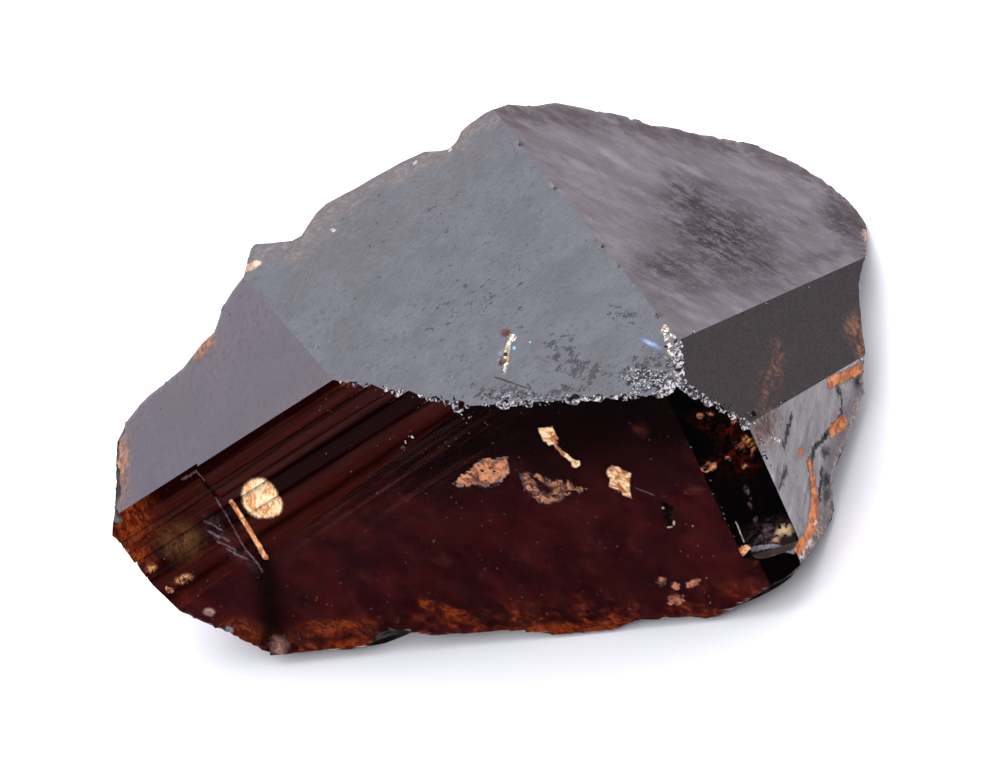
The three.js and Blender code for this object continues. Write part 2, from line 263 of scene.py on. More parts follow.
class Recipe:
    """Builds one node tree, with the object's own millimetres as its coordinates."""

    def __init__(self, tree: bpy.types.NodeTree) -> None:
        """Starts an empty tree."""
        self.tree = tree
        tree.nodes.clear()
        self._place: Optional[Socket] = None

    def node(self, kind: str, settings: Optional[dict] = None,
             sockets: Optional[dict] = None) -> dict[str, Socket]:
        """Adds a node.

        Args:
            kind: the node's type.
            settings: its properties, set first; a ramp's stops are under "stops".
            sockets: its inputs by name or number, each a value or a Socket.

        Returns:
            Its outputs by name.
        """
        made = self.tree.nodes.new(kind)
        for name, value in (settings or {}).items():
            if name == "stops":
                ramp = made.color_ramp
                while len(ramp.elements) < len(value):
                    ramp.elements.new(1.0)
                for element, (position, colour) in zip(ramp.elements, value):
                    element.position, element.color = position, colour
            else:
                setattr(made, name, value)
        for name, value in (sockets or {}).items():
            port = made.inputs[name]
            if isinstance(value, Socket):
                self.tree.links.new(value.port, port)
            else:
                port.default_value = value
        ports: dict[str, Socket] = {}
        for port in made.outputs:
            if port.enabled and port.name not in ports:
                ports[port.name] = Socket(self, port)
        return ports

    def math(self, operation: str, *values: Value) -> Socket:
        """One Math node."""
        return self.node("ShaderNodeMath", {"operation": operation}, dict(enumerate(values)))["Value"]

    @property
    def place(self) -> Socket:
        """Object coordinates in millimetres."""
        if self._place is None:
            raw = self.node("ShaderNodeTexCoord")["Object"]
            self._place = self.vector("SCALE", raw, Scale=1 / MM)
        return self._place

    def vector(self, operation: str, *values: Union[Socket, Sequence[float]], **named: Value) -> Socket:
        """One Vector Math node: its vector, or its number where it gives one."""
        sockets: dict = dict(enumerate(values))
        sockets.update(named)
        ports = self.node("ShaderNodeVectorMath", {"operation": operation}, sockets)
        return next(iter(ports.values()))

    def blend(self, share: Value, first: object, second: object, mode: str = "MIX") -> Socket:
        """Mixes two colours.

        Args:
            share: how much of the second.
            first: a colour or a Socket.
            second: a colour or a Socket.
            mode: the way they mix.

        Returns:
            The colour.
        """
        settings = {"data_type": "RGBA", "blend_type": mode, "clamp_factor": True}
        made = self.tree.nodes.new("ShaderNodeMix")
        for name, value in settings.items():
            setattr(made, name, value)
        colours = [p for p in made.inputs if p.type == "RGBA"]
        for port, value in zip([made.inputs[0], *colours], (share, first, second)):
            if isinstance(value, Socket):
                self.tree.links.new(value.port, port)
            else:
                port.default_value = value
        return Socket(self, next(p for p in made.outputs if p.type == "RGBA"))

    def grain(self, size: float, detail: float = 3.0, roughness: float = 0.55, at: Optional[Socket] = None,
              twist: float = 0.0) -> Socket:
        """Soft noise between 0 and 1, around a half.

        Args:
            size: size of its lumps, in millimetres.
            detail: octaves.
            roughness: weight of the finer octaves.
            at: coordinates, the object's own if left out.
            twist: how much it swirls.

        Returns:
            The noise.
        """
        sockets = {"Vector": at or self.place, "Scale": 1 / size, "Detail": detail, "Roughness": roughness,
                   "Distortion": twist}
        return self.node("ShaderNodeTexNoise", None, sockets)["Fac"]

    def cells(self, size: float, at: Optional[Socket] = None, out: str = "Distance") -> Socket:
        """Voronoi cells.

        Args:
            size: size of a cell, in millimetres.
            at: coordinates, the object's own if left out.
            out: which output.

        Returns:
            The distance in cell sizes, or the cell's colour.
        """
        sockets = {"Vector": at or self.place, "Scale": 1 / size}
        return self.node("ShaderNodeTexVoronoi", {"feature": "F1"}, sockets)[out]

    def part(self, colour: Value, channel: str) -> Socket:
        """One channel of a colour."""
        return self.node("ShaderNodeSeparateColor", None, {"Color": colour})[channel]

    def altitude(self, size: float, reach: float) -> Socket:
        """Height over the floor in millimetres, with a torn outline."""
        return self.node("ShaderNodeSeparateXYZ", None, {"Vector": self.ragged(size, reach)})["Z"]

    def stretched(self, along: Vector, across: Vector, lengths: Pair) -> Socket:
        """Coordinates drawn out along one direction of a face, for streaks.

        Args:
            along: the direction of the streaks.
            across: the direction across them.
            lengths: how much the pattern is stretched along and across.

        Returns:
            The coordinates.
        """
        run = self.vector("DOT_PRODUCT", self.place, along) / lengths[0]
        side = self.vector("DOT_PRODUCT", self.place, across) / lengths[1]
        return self.node("ShaderNodeCombineXYZ", None, {"X": run, "Y": side})["Vector"]

    def ragged(self, size: float, reach: float) -> Socket:
        """Coordinates shaken by noise, so that what is drawn on them has a torn outline.

        Args:
            size: size of the tears, in millimetres.
            reach: how far they go, in millimetres.

        Returns:
            The shaken coordinates.
        """
        sockets = {"Vector": self.place, "Scale": 1 / size, "Detail": 4.0, "Roughness": 0.7}
        shake = self.node("ShaderNodeTexNoise", None, sockets)["Color"]
        centred = self.vector("SUBTRACT", shake, (0.5, 0.5, 0.5))
        return self.vector("MULTIPLY_ADD", centred, (2 * reach,) * 3, self.place)

    def bump(self, height: Socket, depth: float) -> Socket:
        """A normal from a height, where a height of 1 stands for the depth in millimetres."""
        sockets = {"Height": height, "Distance": depth * MM, "Strength": 1.0}
        return self.node("ShaderNodeBump", None, sockets)["Normal"]

    def shader(self, sockets: dict) -> Socket:
        """One Principled shader."""
        return self.node("ShaderNodeBsdfPrincipled", None, sockets)["BSDF"]

    def finish(self, surface: Socket) -> None:
        """Ends a material's tree."""
        self.node("ShaderNodeOutputMaterial", None, {"Surface": surface})


def new_material(name: str) -> tuple[bpy.types.Material, Recipe]:
    """An empty material and the recipe of its tree."""
    material = bpy.data.materials.new(name)
    material.use_nodes = True
    return material, Recipe(material.node_tree)


class Outline(Enum):
    """The outline of a mark on a face."""

    OVAL = "oval"
    DIAMOND = "diamond"
    RING = "ring"


@dataclass(frozen=True)
class Mark:
    """A patch on a face, placed as the camera's picture shows it: another mineral, a stain, or a painted
    highlight, glint or glow.
    """

    at: Pair
    half: Pair
    turn: float = 0.0
    outline: Outline = Outline.OVAL
    soft: float = 0.12

    def mask(self, recipe: Recipe, plane: Plane, eye: Viewpoint, shaken: Socket) -> Socket:
        """Draws the mark.

        Args:
            recipe: the tree to draw it in.
            plane: the face that carries it.
            eye: the viewpoint that its place is given for.
            shaken: the coordinates, shaken for a torn outline.

        Returns:
            1 inside the mark, 0 outside.
        """
        centre = eye.on(plane, *self.at)
        turn = math.radians(self.turn)
        arms = []
        for length, angle in ((self.half[0], turn), (self.half[1], turn + math.pi / 2)):
            x, y = self.at[0] + length * math.cos(angle), self.at[1] - length * math.sin(angle)
            arms.append(eye.on(plane, x, y) - centre)
        basis = Matrix((arms[0], arms[1], plane.normal)).transposed().inverted()
        u, v = (recipe.vector("DOT_PRODUCT", shaken, tuple(row)) - row.dot(centre) for row in basis[:2])
        if self.outline is Outline.DIAMOND:
            reach = u.absolute() + v.absolute()
        else:
            reach = (u * u + v * v) ** 0.5
        if self.outline is Outline.RING:
            reach = (reach - 0.7).absolute() / 0.3
        return reach.step(1.0 + self.soft, 1.0 - self.soft)


@dataclass(frozen=True)
class Thread:
    """A vein, crack, scratch, painted highlight or painted shadow on a face: its width, and its points as the
    camera's picture shows them.
    """

    points: tuple[Pair, ...]
    width: float
    soft: float = 0.35

    def mask(self, recipe: Recipe, plane: Plane, eye: Viewpoint, shaken: Socket) -> Socket:
        """Draws the thread.

        Args:
            recipe: the tree to draw it in.
            plane: the face that carries it.
            eye: the viewpoint that its place is given for.
            shaken: the coordinates, shaken for a torn outline.

        Returns:
            1 on the thread, 0 beside it.
        """
        spots = [eye.on(plane, *point) for point in self.points]
        half = self.width / 2 * eye.distance / eye.focal
        nearest: Optional[Socket] = None
        for start, end in zip(spots, spots[1:]):
            run = end - start
            offset = recipe.vector("SUBTRACT", shaken, tuple(start))
            share = recipe.vector("DOT_PRODUCT", offset, tuple(run / run.length_squared))
            share = share.most(0.0).least(1.0)
            foot = recipe.vector("SCALE", tuple(run), Scale=share)
            gap = recipe.vector("DISTANCE", offset, foot)
            nearest = gap if nearest is None else nearest.least(gap)
        assert nearest is not None
        return nearest.step(half * (1 + self.soft), half * (1 - self.soft))


Shape = Union[Mark, Thread]


# ---------------------------------------------------------------- finishes


@dataclass(frozen=True)
class Overlay:
    """A group of marks and threads that share one colour: mostly minerals and stains, in places a painted
    shadow, highlight or glow.

    Attributes:
        colour: its darker tone.
        second: its lighter tone.
        shapes: where it lies.
        rag: size and reach of the tears in its outline, in millimetres.
        speckle: how closely it is broken up into specks, 0 for not at all.
        gloss: its strength under the polish, 0 where it lies dull on top.
        rim: strength of a pale rim.
        melt: how softly its specks run into each other.
        share: its strength over all.
    """

    colour: str
    second: str
    shapes: tuple[Shape, ...]
    rag: Pair = (0.35, 0.12)
    speckle: float = 0.25
    gloss: float = 0.0
    rim: float = 0.0
    melt: float = 0.0
    share: float = 1.0


@dataclass(frozen=True)
class Lustre:
    """The clean crystal of one face: its colour, cloudiness and polish.

    Attributes:
        deep: its darker tone.
        cloud: its lighter tone.
        cloud_size: size of its clouds, in millimetres.
        roughness: at the smoothest and at the roughest spots.
        specular: strength of its mirroring.
        wave: height of its waves, in millimetres.
        wave_size: their size, in millimetres.
        pits: how dark its pits are.
        tooth: height of its finest grain, in millimetres.
        mottle: strength of its spots.
        mottle_colour: their colour.
        dust: strength of its pale motes.
        dust_colour: their colour.
    """

    deep: str
    cloud: str
    cloud_size: float = 3.0
    roughness: Pair = (0.1, 0.22)
    specular: float = 0.5
    wave: float = 0.0
    wave_size: float = 1.5
    pits: float = 0.3
    tooth: float = 0.002
    mottle: float = 0.0
    mottle_colour: str = "4a4240"
    dust: float = 0.0
    dust_colour: str = "c4c4c8"


class FaceFinish:
    """The material of one kind of surface: lustrous crystal, with dull stains and grains over it, and in places
    painted light and shade.
    """

    def __init__(self, name: str, facet: Facet, lustre: Lustre, stains: Sequence[Overlay] = (),
                 extra: Optional[Callable[["FaceFinish"], None]] = None) -> None:
        """Keeps what the finish is made of.

        Args:
            name: the material's name.
            facet: the surface that it is for.
            lustre: its clean crystal.
            stains: what lies over it.
            extra: a function that adds what only this face has.
        """
        self.name, self.facet, self.lustre, self.stains, self.extra = name, facet, lustre, stains, extra

    def make(self, planes: dict[Facet, Plane], eye: Viewpoint) -> bpy.types.Material:
        """Builds the material.

        Args:
            planes: the crystal's faces.
            eye: the viewpoint that marks are placed for.

        Returns:
            The material.
        """
        material, self.recipe = new_material(self.name)
        recipe = self.recipe
        self.plane = planes.get(self.facet)
        self.eye = eye
        look = self.lustre
        clouds = recipe.grain(look.cloud_size, 4.0, 0.6)
        self.colour = recipe.blend(clouds.step(0.35, 0.7), linear(look.deep), linear(look.cloud))
        self.rough = recipe.grain(look.cloud_size * 0.6, 5.0, 0.65).step(0.3, 0.7, look.roughness)
        self.dull_colour: object = linear(look.cloud)
        self.dull: Value = 0.0
        self.height = recipe.grain(0.12, 3.0, 0.6) * look.tooth
        if look.wave:
            self.height = self.height + recipe.grain(look.wave_size, 2.0, 0.4) * look.wave
        if look.pits:
            near = recipe.cells(0.75)
            size = recipe.part(recipe.cells(0.75, out="Color"), "Red")
            pit = near.step(0.16, 0.05) * size.step(0.5, 0.9)
            self.height = self.height - pit * 0.02
            self.lay_dull_colour(pit * look.pits, linear("241c1b"))
        if look.mottle:
            fine = recipe.grain(0.1, 3.0, 0.7).step(0.42, 0.62)
            self.lay_dull_colour(fine * (look.mottle * 0.22), linear("3c3836"))
            spots = recipe.grain(0.36, 5.0, 0.72).step(0.53, 0.6)
            spots = spots * recipe.grain(3.0, 2.0).step(0.35, 0.6, (0.3, 1.0))
            self.lay_dull_colour(spots * look.mottle, linear(look.mottle_colour))
        if look.dust:
            motes = recipe.cells(0.55, at=recipe.ragged(0.2, 0.05)).step(0.1, 0.04)
            motes = motes * recipe.grain(0.9).step(0.45, 0.6)
            self.lay_dull_colour(motes * look.dust, linear(look.dust_colour))
        if self.extra:
            self.extra(self)
        for stain in self.stains:
            self._stain(stain)
        self._finish()
        return material

    def flattened(self, size: float, reach: float) -> Socket:
        """Shaken coordinates pressed flat on the face along the line of sight, so that marks cross its steps.

        Args:
            size: size of the tears in what is drawn on them, in millimetres.
            reach: how far the tears go, in millimetres.

        Returns:
            The coordinates.
        """
        recipe, plane = self.recipe, self.plane
        assert plane is not None
        shaken = recipe.ragged(size, reach)
        back = self.eye.axes()[2]
        share = 1 / plane.normal.dot(back)
        height = recipe.vector("DOT_PRODUCT", shaken, tuple(plane.normal * share)) - plane.level * share
        return recipe.vector("MULTIPLY_ADD", height, tuple(-back), shaken)

    def patches(self, spots: Sequence[tuple[Shape, float]], size: float, reach: float) -> Socket:
        """A mask of several shapes, each with its own strength.

        Args:
            spots: the shapes and their strengths.
            size: size of the tears in their outlines, in millimetres.
            reach: how far the tears go, in millimetres.

        Returns:
            The strongest shape at each point.
        """
        assert self.plane is not None
        shaken = self.flattened(size, reach)
        masks = [shape.mask(self.recipe, self.plane, self.eye, shaken) * share for shape, share in spots]
        whole = masks[0]
        for mask in masks[1:]:
            whole = whole.most(mask)
        return whole

    def lay_dull_colour(self, mask: Value, colour: object) -> None:
        """Lays a dull colour over the crystal where the mask is set."""
        recipe = self.recipe
        if isinstance(self.dull, Socket):
            share = mask if isinstance(mask, Socket) else recipe.math("ADD", mask, 0.0)
            self.dull_colour = recipe.blend(share, self.dull_colour, colour)
            self.dull = self.dull + share - self.dull * share
        else:
            self.dull_colour, self.dull = recipe.blend(mask, self.dull_colour, colour), mask

    def _stain(self, stain: Overlay) -> None:
        """Lays one group of marks over the face."""
        recipe = self.recipe
        assert self.plane is not None
        shaken = self.flattened(*stain.rag)
        mask: Optional[Socket] = None
        for shape in stain.shapes:
            one = shape.mask(recipe, self.plane, self.eye, shaken)
            mask = one if mask is None else mask.most(one)
        assert mask is not None
        specks = recipe.grain(0.3, 3.0, 0.7)
        if stain.speckle:
            low, high = 0.5 - stain.speckle - stain.melt / 2, 0.62 - stain.speckle + stain.melt / 2
            mask = mask * specks.step(low, high)
        facets = recipe.cells(0.5, at=recipe.ragged(0.3, 0.15), out="Color")
        tone = (recipe.grain(0.25, 4.0, 0.7) - 0.5) * 2.2 + recipe.part(facets, "Green") * 0.6 + 0.2
        colour = recipe.blend(tone.step(0.15, 0.85), linear(stain.colour), linear(stain.second))
        mask = mask * stain.share
        if stain.rim:
            edge = mask * (1 - mask) * 4.0
            colour = recipe.blend(edge * stain.rim, colour, linear("b9a8a0"))
        if stain.gloss:
            self.colour = recipe.blend(mask * stain.gloss, self.colour, colour)
        else:
            self.lay_dull_colour(mask, colour)
            self.height = self.height + mask * (specks * 0.06)

    def _finish(self) -> None:
        """Joins the two shaders and ends the tree."""
        recipe, look = self.recipe, self.lustre
        normal = recipe.bump(self.height, 1.0)
        crystal = {"Base Color": self.colour, "Roughness": self.rough, "IOR": 2.0, "Normal": normal,
                   "Specular IOR Level": look.specular}
        dull = {"Base Color": self.dull_colour, "Roughness": 0.7, "IOR": 1.5, "Normal": normal,
                "Specular IOR Level": 0.3}
        shares = {0: self.dull, 1: recipe.shader(crystal), 2: recipe.shader(dull)}
        recipe.finish(recipe.node("ShaderNodeMixShader", None, shares)["Shader"])


def paint_rim_glow(finish: FaceFinish, strength: float = 1.0) -> None:
    """Lets light glow amber through the thin rims of the crystal."""
    # Paints an amber glow into the colour of the thin rims, where light would shine through the crystal.
    recipe = finish.recipe
    thin = recipe.node("ShaderNodeAttribute", {"attribute_name": "thin"})["Fac"]
    patchy = thin * recipe.grain(0.9, 4.0, 0.65).step(0.42, 0.62) * strength
    amber = recipe.blend(recipe.grain(0.5, 3.0, 0.6).step(0.35, 0.65), linear("5a2410"), linear("b06a38"))
    finish.colour = recipe.blend(patchy, finish.colour, amber)


def face_axes(finish: FaceFinish, degrees: float) -> tuple[Vector, Vector]:
    """Two directions in a face, the first running as a line at that angle in the picture."""
    assert finish.plane is not None
    eye, plane = finish.eye, finish.plane
    turn = math.radians(degrees)
    (x, y), reach = (500.0, 383.5), 50.0
    aside = eye.on(plane, x + reach * math.cos(turn), y - reach * math.sin(turn))
    run = (aside - eye.on(plane, x, y)).normalized()
    return run, plane.normal.cross(run)


def top_extra(finish: FaceFinish) -> None:
    """Fine scratches, pitted patches and a roughened back rim on the top face."""
    recipe = finish.recipe
    paint_rim_glow(finish, 0.7)
    for degrees, size, share in ((58.0, 1.0, 0.24), (-16.0, 1.3, 0.12), (30.0, 1.2, 0.14)):
        run, side = face_axes(finish, degrees)
        streaks = recipe.grain(0.07 * size, 2.0, 0.5, at=recipe.stretched(run, side, (24.0, 1.0)))
        lines = streaks.step(0.56, 0.7)
        finish.lay_dull_colour(lines * share, linear("aeb2bc"))
        finish.height = finish.height - lines * 0.003
    veil = recipe.grain(2.2, 3.0, 0.5).step(0.42, 0.66)
    finish.lay_dull_colour(veil * 0.28, linear("5f5654"))
    area = finish.patches((
        (Mark((625, 315), (19, 13), soft=0.7), 0.9), (Mark((561, 355), (21, 24), soft=0.75), 1.0),
        (Mark((587, 372), (26, 12), soft=0.75), 1.0), (Mark((655, 372), (38, 22), soft=0.6), 1.0),
        (Mark((520, 392), (80, 11), soft=0.8), 0.9), (Mark((470, 300), (90, 80), soft=0.9), 0.5),
        (Mark((400, 220), (90, 50), 30, soft=0.9), 0.45)), 0.9, 0.5)
    pitted = recipe.grain(0.5, 6.0, 0.75)
    spots = (pitted - (1 - area) * 0.2).step(0.5, 0.55)
    finish.lay_dull_colour(spots * 0.68, linear("2c2425"))
    finish.height = finish.height - spots * 0.03
    black = finish.patches((
        (Mark((650, 380), (40, 18), -8, soft=0.7), 1.0), (Mark((560, 400), (90, 7), -3), 0.8)), 0.6, 0.4)
    holes = (recipe.grain(0.3, 4.0, 0.7) - (1 - black) * 0.3).step(0.48, 0.52)
    finish.lay_dull_colour(holes * 0.95, linear("060506"))
    chips = (recipe.grain(0.16, 4.0, 0.75) - (1 - black) * 0.35).step(0.54, 0.58)
    finish.lay_dull_colour(chips * 0.9, linear("d4d0d0"))


def etched_extra(finish: FaceFinish) -> None:
    """The dark streaky etched patch of the back-right face."""
    recipe = finish.recipe
    paint_rim_glow(finish, 0.5)
    run, side = face_axes(finish, -31.0)
    area = finish.patches((
        (Mark((722, 238), (66, 40), -28, soft=0.8), 1.0), (Mark((690, 200), (30, 26), 0, soft=0.8), 0.9),
        (Mark((848, 222), (30, 14), -28, soft=0.7), 1.0), (Mark((672, 265), (36, 22), 0, soft=0.8), 0.85),
        (Mark((820, 258), (36, 8), 12, soft=0.8), 0.6), (Mark((700, 285), (50, 14), 20, soft=0.9), 0.6)),
        1.8, 0.9)
    streaks = recipe.grain(0.62, 5.0, 0.66, at=recipe.stretched(run, side, (2.0, 1.0)))
    blotch = recipe.grain(1.0, 5.0, 0.7)
    for size, low, high, share, tint in ((3.2, 0.42, 0.62, 0.42, "5c4e4e"), (1.3, 0.46, 0.64, 0.3, "54484a"),
                                         (2.4, 0.5, 0.68, 0.42, "b0a8b2")):
        drift = recipe.grain(size, 4.0, 0.55, at=recipe.stretched(run, side, (1.6, 1.0)))
        finish.lay_dull_colour(drift.step(low, high) * share, linear(tint))
    etch = area * (streaks * 0.45 + blotch * 0.55).step(0.4, 0.56)
    finish.lay_dull_colour(area * 0.45 + etch * 0.55, linear("0e0605"))
    flecks = area * recipe.grain(0.28, 4.0, 0.7).step(0.54, 0.64)
    finish.lay_dull_colour(flecks * 0.5, linear("8b7d80"))
    seam = finish.patches((
        (Thread(((668, 177), (700, 205), (726, 236), (758, 262), (792, 282)), 15.0, 0.95), 1.0),
        (Thread(((802, 220), (834, 228), (864, 234)), 14.0, 0.95), 0.8)), 0.9, 0.6)
    finish.lay_dull_colour(seam * streaks.step(0.4, 0.6) * 0.75, linear("0e090a"))
    brim = Thread(((500, 112), (600, 120), (700, 140), (752, 150), (800, 172), (842, 202), (866, 232),
                   (874, 262)), 46.0, 0.95)
    brim = finish.patches(((brim, 1.0),), 1.4, 0.9)
    finish.lay_dull_colour(brim * blotch.step(0.32, 0.6) * 0.85, linear("3c2e2b"))
    finish.height = finish.height - etch * streaks * 0.08 + streaks * 0.012


def matte_extra(finish: FaceFinish) -> None:
    """The charcoal face is dulled all over, with rusty streaks."""
    recipe = finish.recipe
    film = recipe.blend(recipe.grain(0.16, 5.0, 0.75).step(0.42, 0.58), linear("0d0908"), linear("302624"))
    finish.lay_dull_colour(0.94, film)
    finish.lay_dull_colour(recipe.grain(0.3, 4.0, 0.7).step(0.56, 0.64) * 0.5, linear("080505"))
    run, side = face_axes(finish, 62.0)
    streaks = recipe.grain(0.45, 4.0, 0.6, at=recipe.stretched(run, side, (5.0, 1.0)))
    area = finish.patches((
        (Thread(((778, 346), (776, 366), (768, 384), (764, 412)), 22.0, 0.9), 0.85),
        (Thread(((779, 350), (769, 380), (765, 398)), 6.0, 0.9), 1.0),
        (Mark((780, 378), (4, 5), soft=0.6), 1.0)), 0.8, 0.5)
    rust = recipe.blend(recipe.grain(0.3, 4.0, 0.7).step(0.45, 0.62), linear("33221c"), linear("7c5034"))
    finish.lay_dull_colour(area * streaks.step(0.4, 0.56) * 0.8, rust)


def deep_extra(finish: FaceFinish) -> None:
    """Blood-red depth under the front faces, darker towards the top and redder towards the bottom: faint growth
    lines, drifting clouds, and a painted amber glow along the thin lower rim.
    """
    recipe = finish.recipe
    assert finish.plane is not None
    height = recipe.altitude(2.5, 1.6)
    finish.colour = recipe.blend(height.step(9.0, 15.0) * 0.85, finish.colour, linear("0b0303"))
    run, side = face_axes(finish, 33.0)
    lines = recipe.grain(0.3, 4.0, 0.7, at=recipe.stretched(run, side, (40.0, 1.0)))
    if finish.facet is Facet.STRIATED:
        edge = finish.eye.on(finish.plane, 330, 384)
        inwards = finish.eye.on(finish.plane, 350, 414) - edge
        across = side if side.dot(inwards) > 0 else -side
        depth = recipe.vector("DOT_PRODUCT", recipe.place, across) - across.dot(edge)
        depth = depth + recipe.grain(4.0, 1.0) * 0.3 - 0.15
        dark, warm = (0, 0, 0, 1), (1, 1, 1, 1)
        stops = [(0.0, dark), (0.03, dark), (0.05, warm), (0.15, warm), (0.165, dark), (0.18, warm),
                 (0.27, warm), (0.3, dark), (0.44, dark), (0.47, warm), (0.56, warm), (0.59, dark),
                 (0.64, warm), (0.8, warm)]
        bands = recipe.node("ShaderNodeValToRGB", {"stops": stops}, {"Fac": depth / 8.0})["Color"]
        grain = recipe.blend(lines.step(0.4, 0.65), (0.55, 0.55, 0.55, 1), (1, 1, 1, 1))
        share = recipe.part(recipe.blend(1.0, bands, grain, "MULTIPLY"), "Red")
        finish.colour = recipe.blend(share, linear("140202"), linear("34120e"))
    else:
        upper = finish.patches(((Mark((400, 470), (120, 40), 30, soft=0.9), 1.0),), 2.0, 1.0)
        finish.colour = recipe.blend(lines.step(0.5, 0.62) * upper * 0.7, finish.colour, linear("4e2620"))
        haze = recipe.grain(0.9, 5.0, 0.65).step(0.45, 0.62) * height.step(15.0, 11.0)
        finish.lay_dull_colour(haze * 0.06, linear("84647a"))
        finish.colour = recipe.blend(height.step(12.0, 16.0) * 0.6, finish.colour, linear("060102"))
        finish.colour = recipe.blend(recipe.grain(0.7, 5.0, 0.7).step(0.52, 0.64) * 0.5, finish.colour,
                                     linear("1a0303"))
    paint_rim_glow(finish, 0.8)
    # Painted glow: amber near the floor, where light would shine through the thin lower rim.
    low = height.step(3.8, 0.6) * recipe.grain(1.3, 5.0, 0.6, twist=0.5).step(0.44, 0.68)
    amber = recipe.blend(recipe.grain(0.6, 4.0, 0.65).step(0.4, 0.66), linear("420d05"), linear("a8441a"))
    finish.colour = recipe.blend(low * 0.85, finish.colour, amber)
    blush = recipe.grain(1.5, 4.0, 0.65).step(0.56, 0.72) * height.step(12.0, 5.0)
    finish.colour = recipe.blend(blush * 0.35, finish.colour, linear("5e1f0e"))
    motes = recipe.cells(0.5, at=recipe.ragged(0.2, 0.06)).step(0.14, 0.07)
    motes = motes * recipe.grain(2.0, 2.0).step(0.46, 0.6)
    finish.lay_dull_colour(motes * 0.6, linear("8a6a68"))


def cracked_extra(finish: FaceFinish) -> None:
    """The right face is fractured into wavy plates, with painted shade in the troughs of its grooves and
    painted tan highlights on its rim.
    """
    recipe = finish.recipe
    paint_rim_glow(finish, 1.0)
    run, side = face_axes(finish, 76.0)
    grooves = recipe.grain(1.4, 1.5, 0.5, at=recipe.stretched(run, side, (2.4, 1.0)))
    finish.height = finish.height + grooves * 0.12
    # Painted shade: darker in the troughs of the grooves.
    finish.lay_dull_colour(grooves.step(0.42, 0.3) * 0.4, linear("3a3233"))
    finish.lay_dull_colour(recipe.grain(0.8, 5.0, 0.7).step(0.5, 0.66) * 0.3, linear("585055"))
    finish.lay_dull_colour(recipe.grain(0.25, 4.0, 0.7).step(0.58, 0.68) * 0.4, linear("bcb8be"))
    rim = Thread(((870, 350), (866, 400), (856, 425), (848, 450), (838, 480), (836, 512), (820, 538),
                  (802, 562)), 38.0, 0.8)
    rim = finish.patches(((rim, 1.0), (Mark((768, 428), (13, 22), -18, soft=0.7), 0.9)), 0.8, 0.6)
    # The rim: brown, with painted tan highlights in its lighter tone.
    brown = recipe.blend(recipe.grain(0.4, 4.0, 0.7).step(0.4, 0.62), linear("5c4844"), linear("bca090"))
    finish.lay_dull_colour(rim * recipe.grain(0.6, 4.0, 0.7).step(0.38, 0.5) * 0.85, brown)


def broken_extra(finish: FaceFinish) -> None:
    """Hackly fracture: resinous brown-black with limonite in the hollows, and painted shade darkening it
    towards the floor.
    """
    recipe = finish.recipe
    paint_rim_glow(finish, 1.0)
    hackle = recipe.cells(0.8, at=recipe.ragged(0.6, 0.3))
    finish.height = finish.height + hackle * 0.05
    stain = recipe.grain(3.2, 5.0, 0.6).step(0.56, 0.68) * recipe.grain(0.4, 3.0, 0.7).step(0.4, 0.6)
    rust = recipe.blend(recipe.grain(0.8, 4.0, 0.7).step(0.35, 0.65), linear("5c3018"), linear("a0683c"))
    finish.lay_dull_colour(stain * 0.7, rust)
    # Painted shade: darker towards the floor, below about 1.8 mm of height.
    finish.lay_dull_colour(recipe.altitude(0.8, 0.5).step(1.8, 0.5) * 0.8, linear("1c0d09"))


def crushed_extra(finish: FaceFinish) -> None:
    """Crushed edges sparkle pale grey between dark specks."""
    recipe = finish.recipe
    red = recipe.part(recipe.cells(0.13, out="Color"), "Red")
    finish.lay_dull_colour(red.step(0.6, 0.7) * 0.9, linear("cfcaca"))
    finish.lay_dull_colour(red.step(0.35, 0.25) * 0.9, linear("0c090a"))
    finish.height = finish.height + recipe.cells(0.16) * 0.05


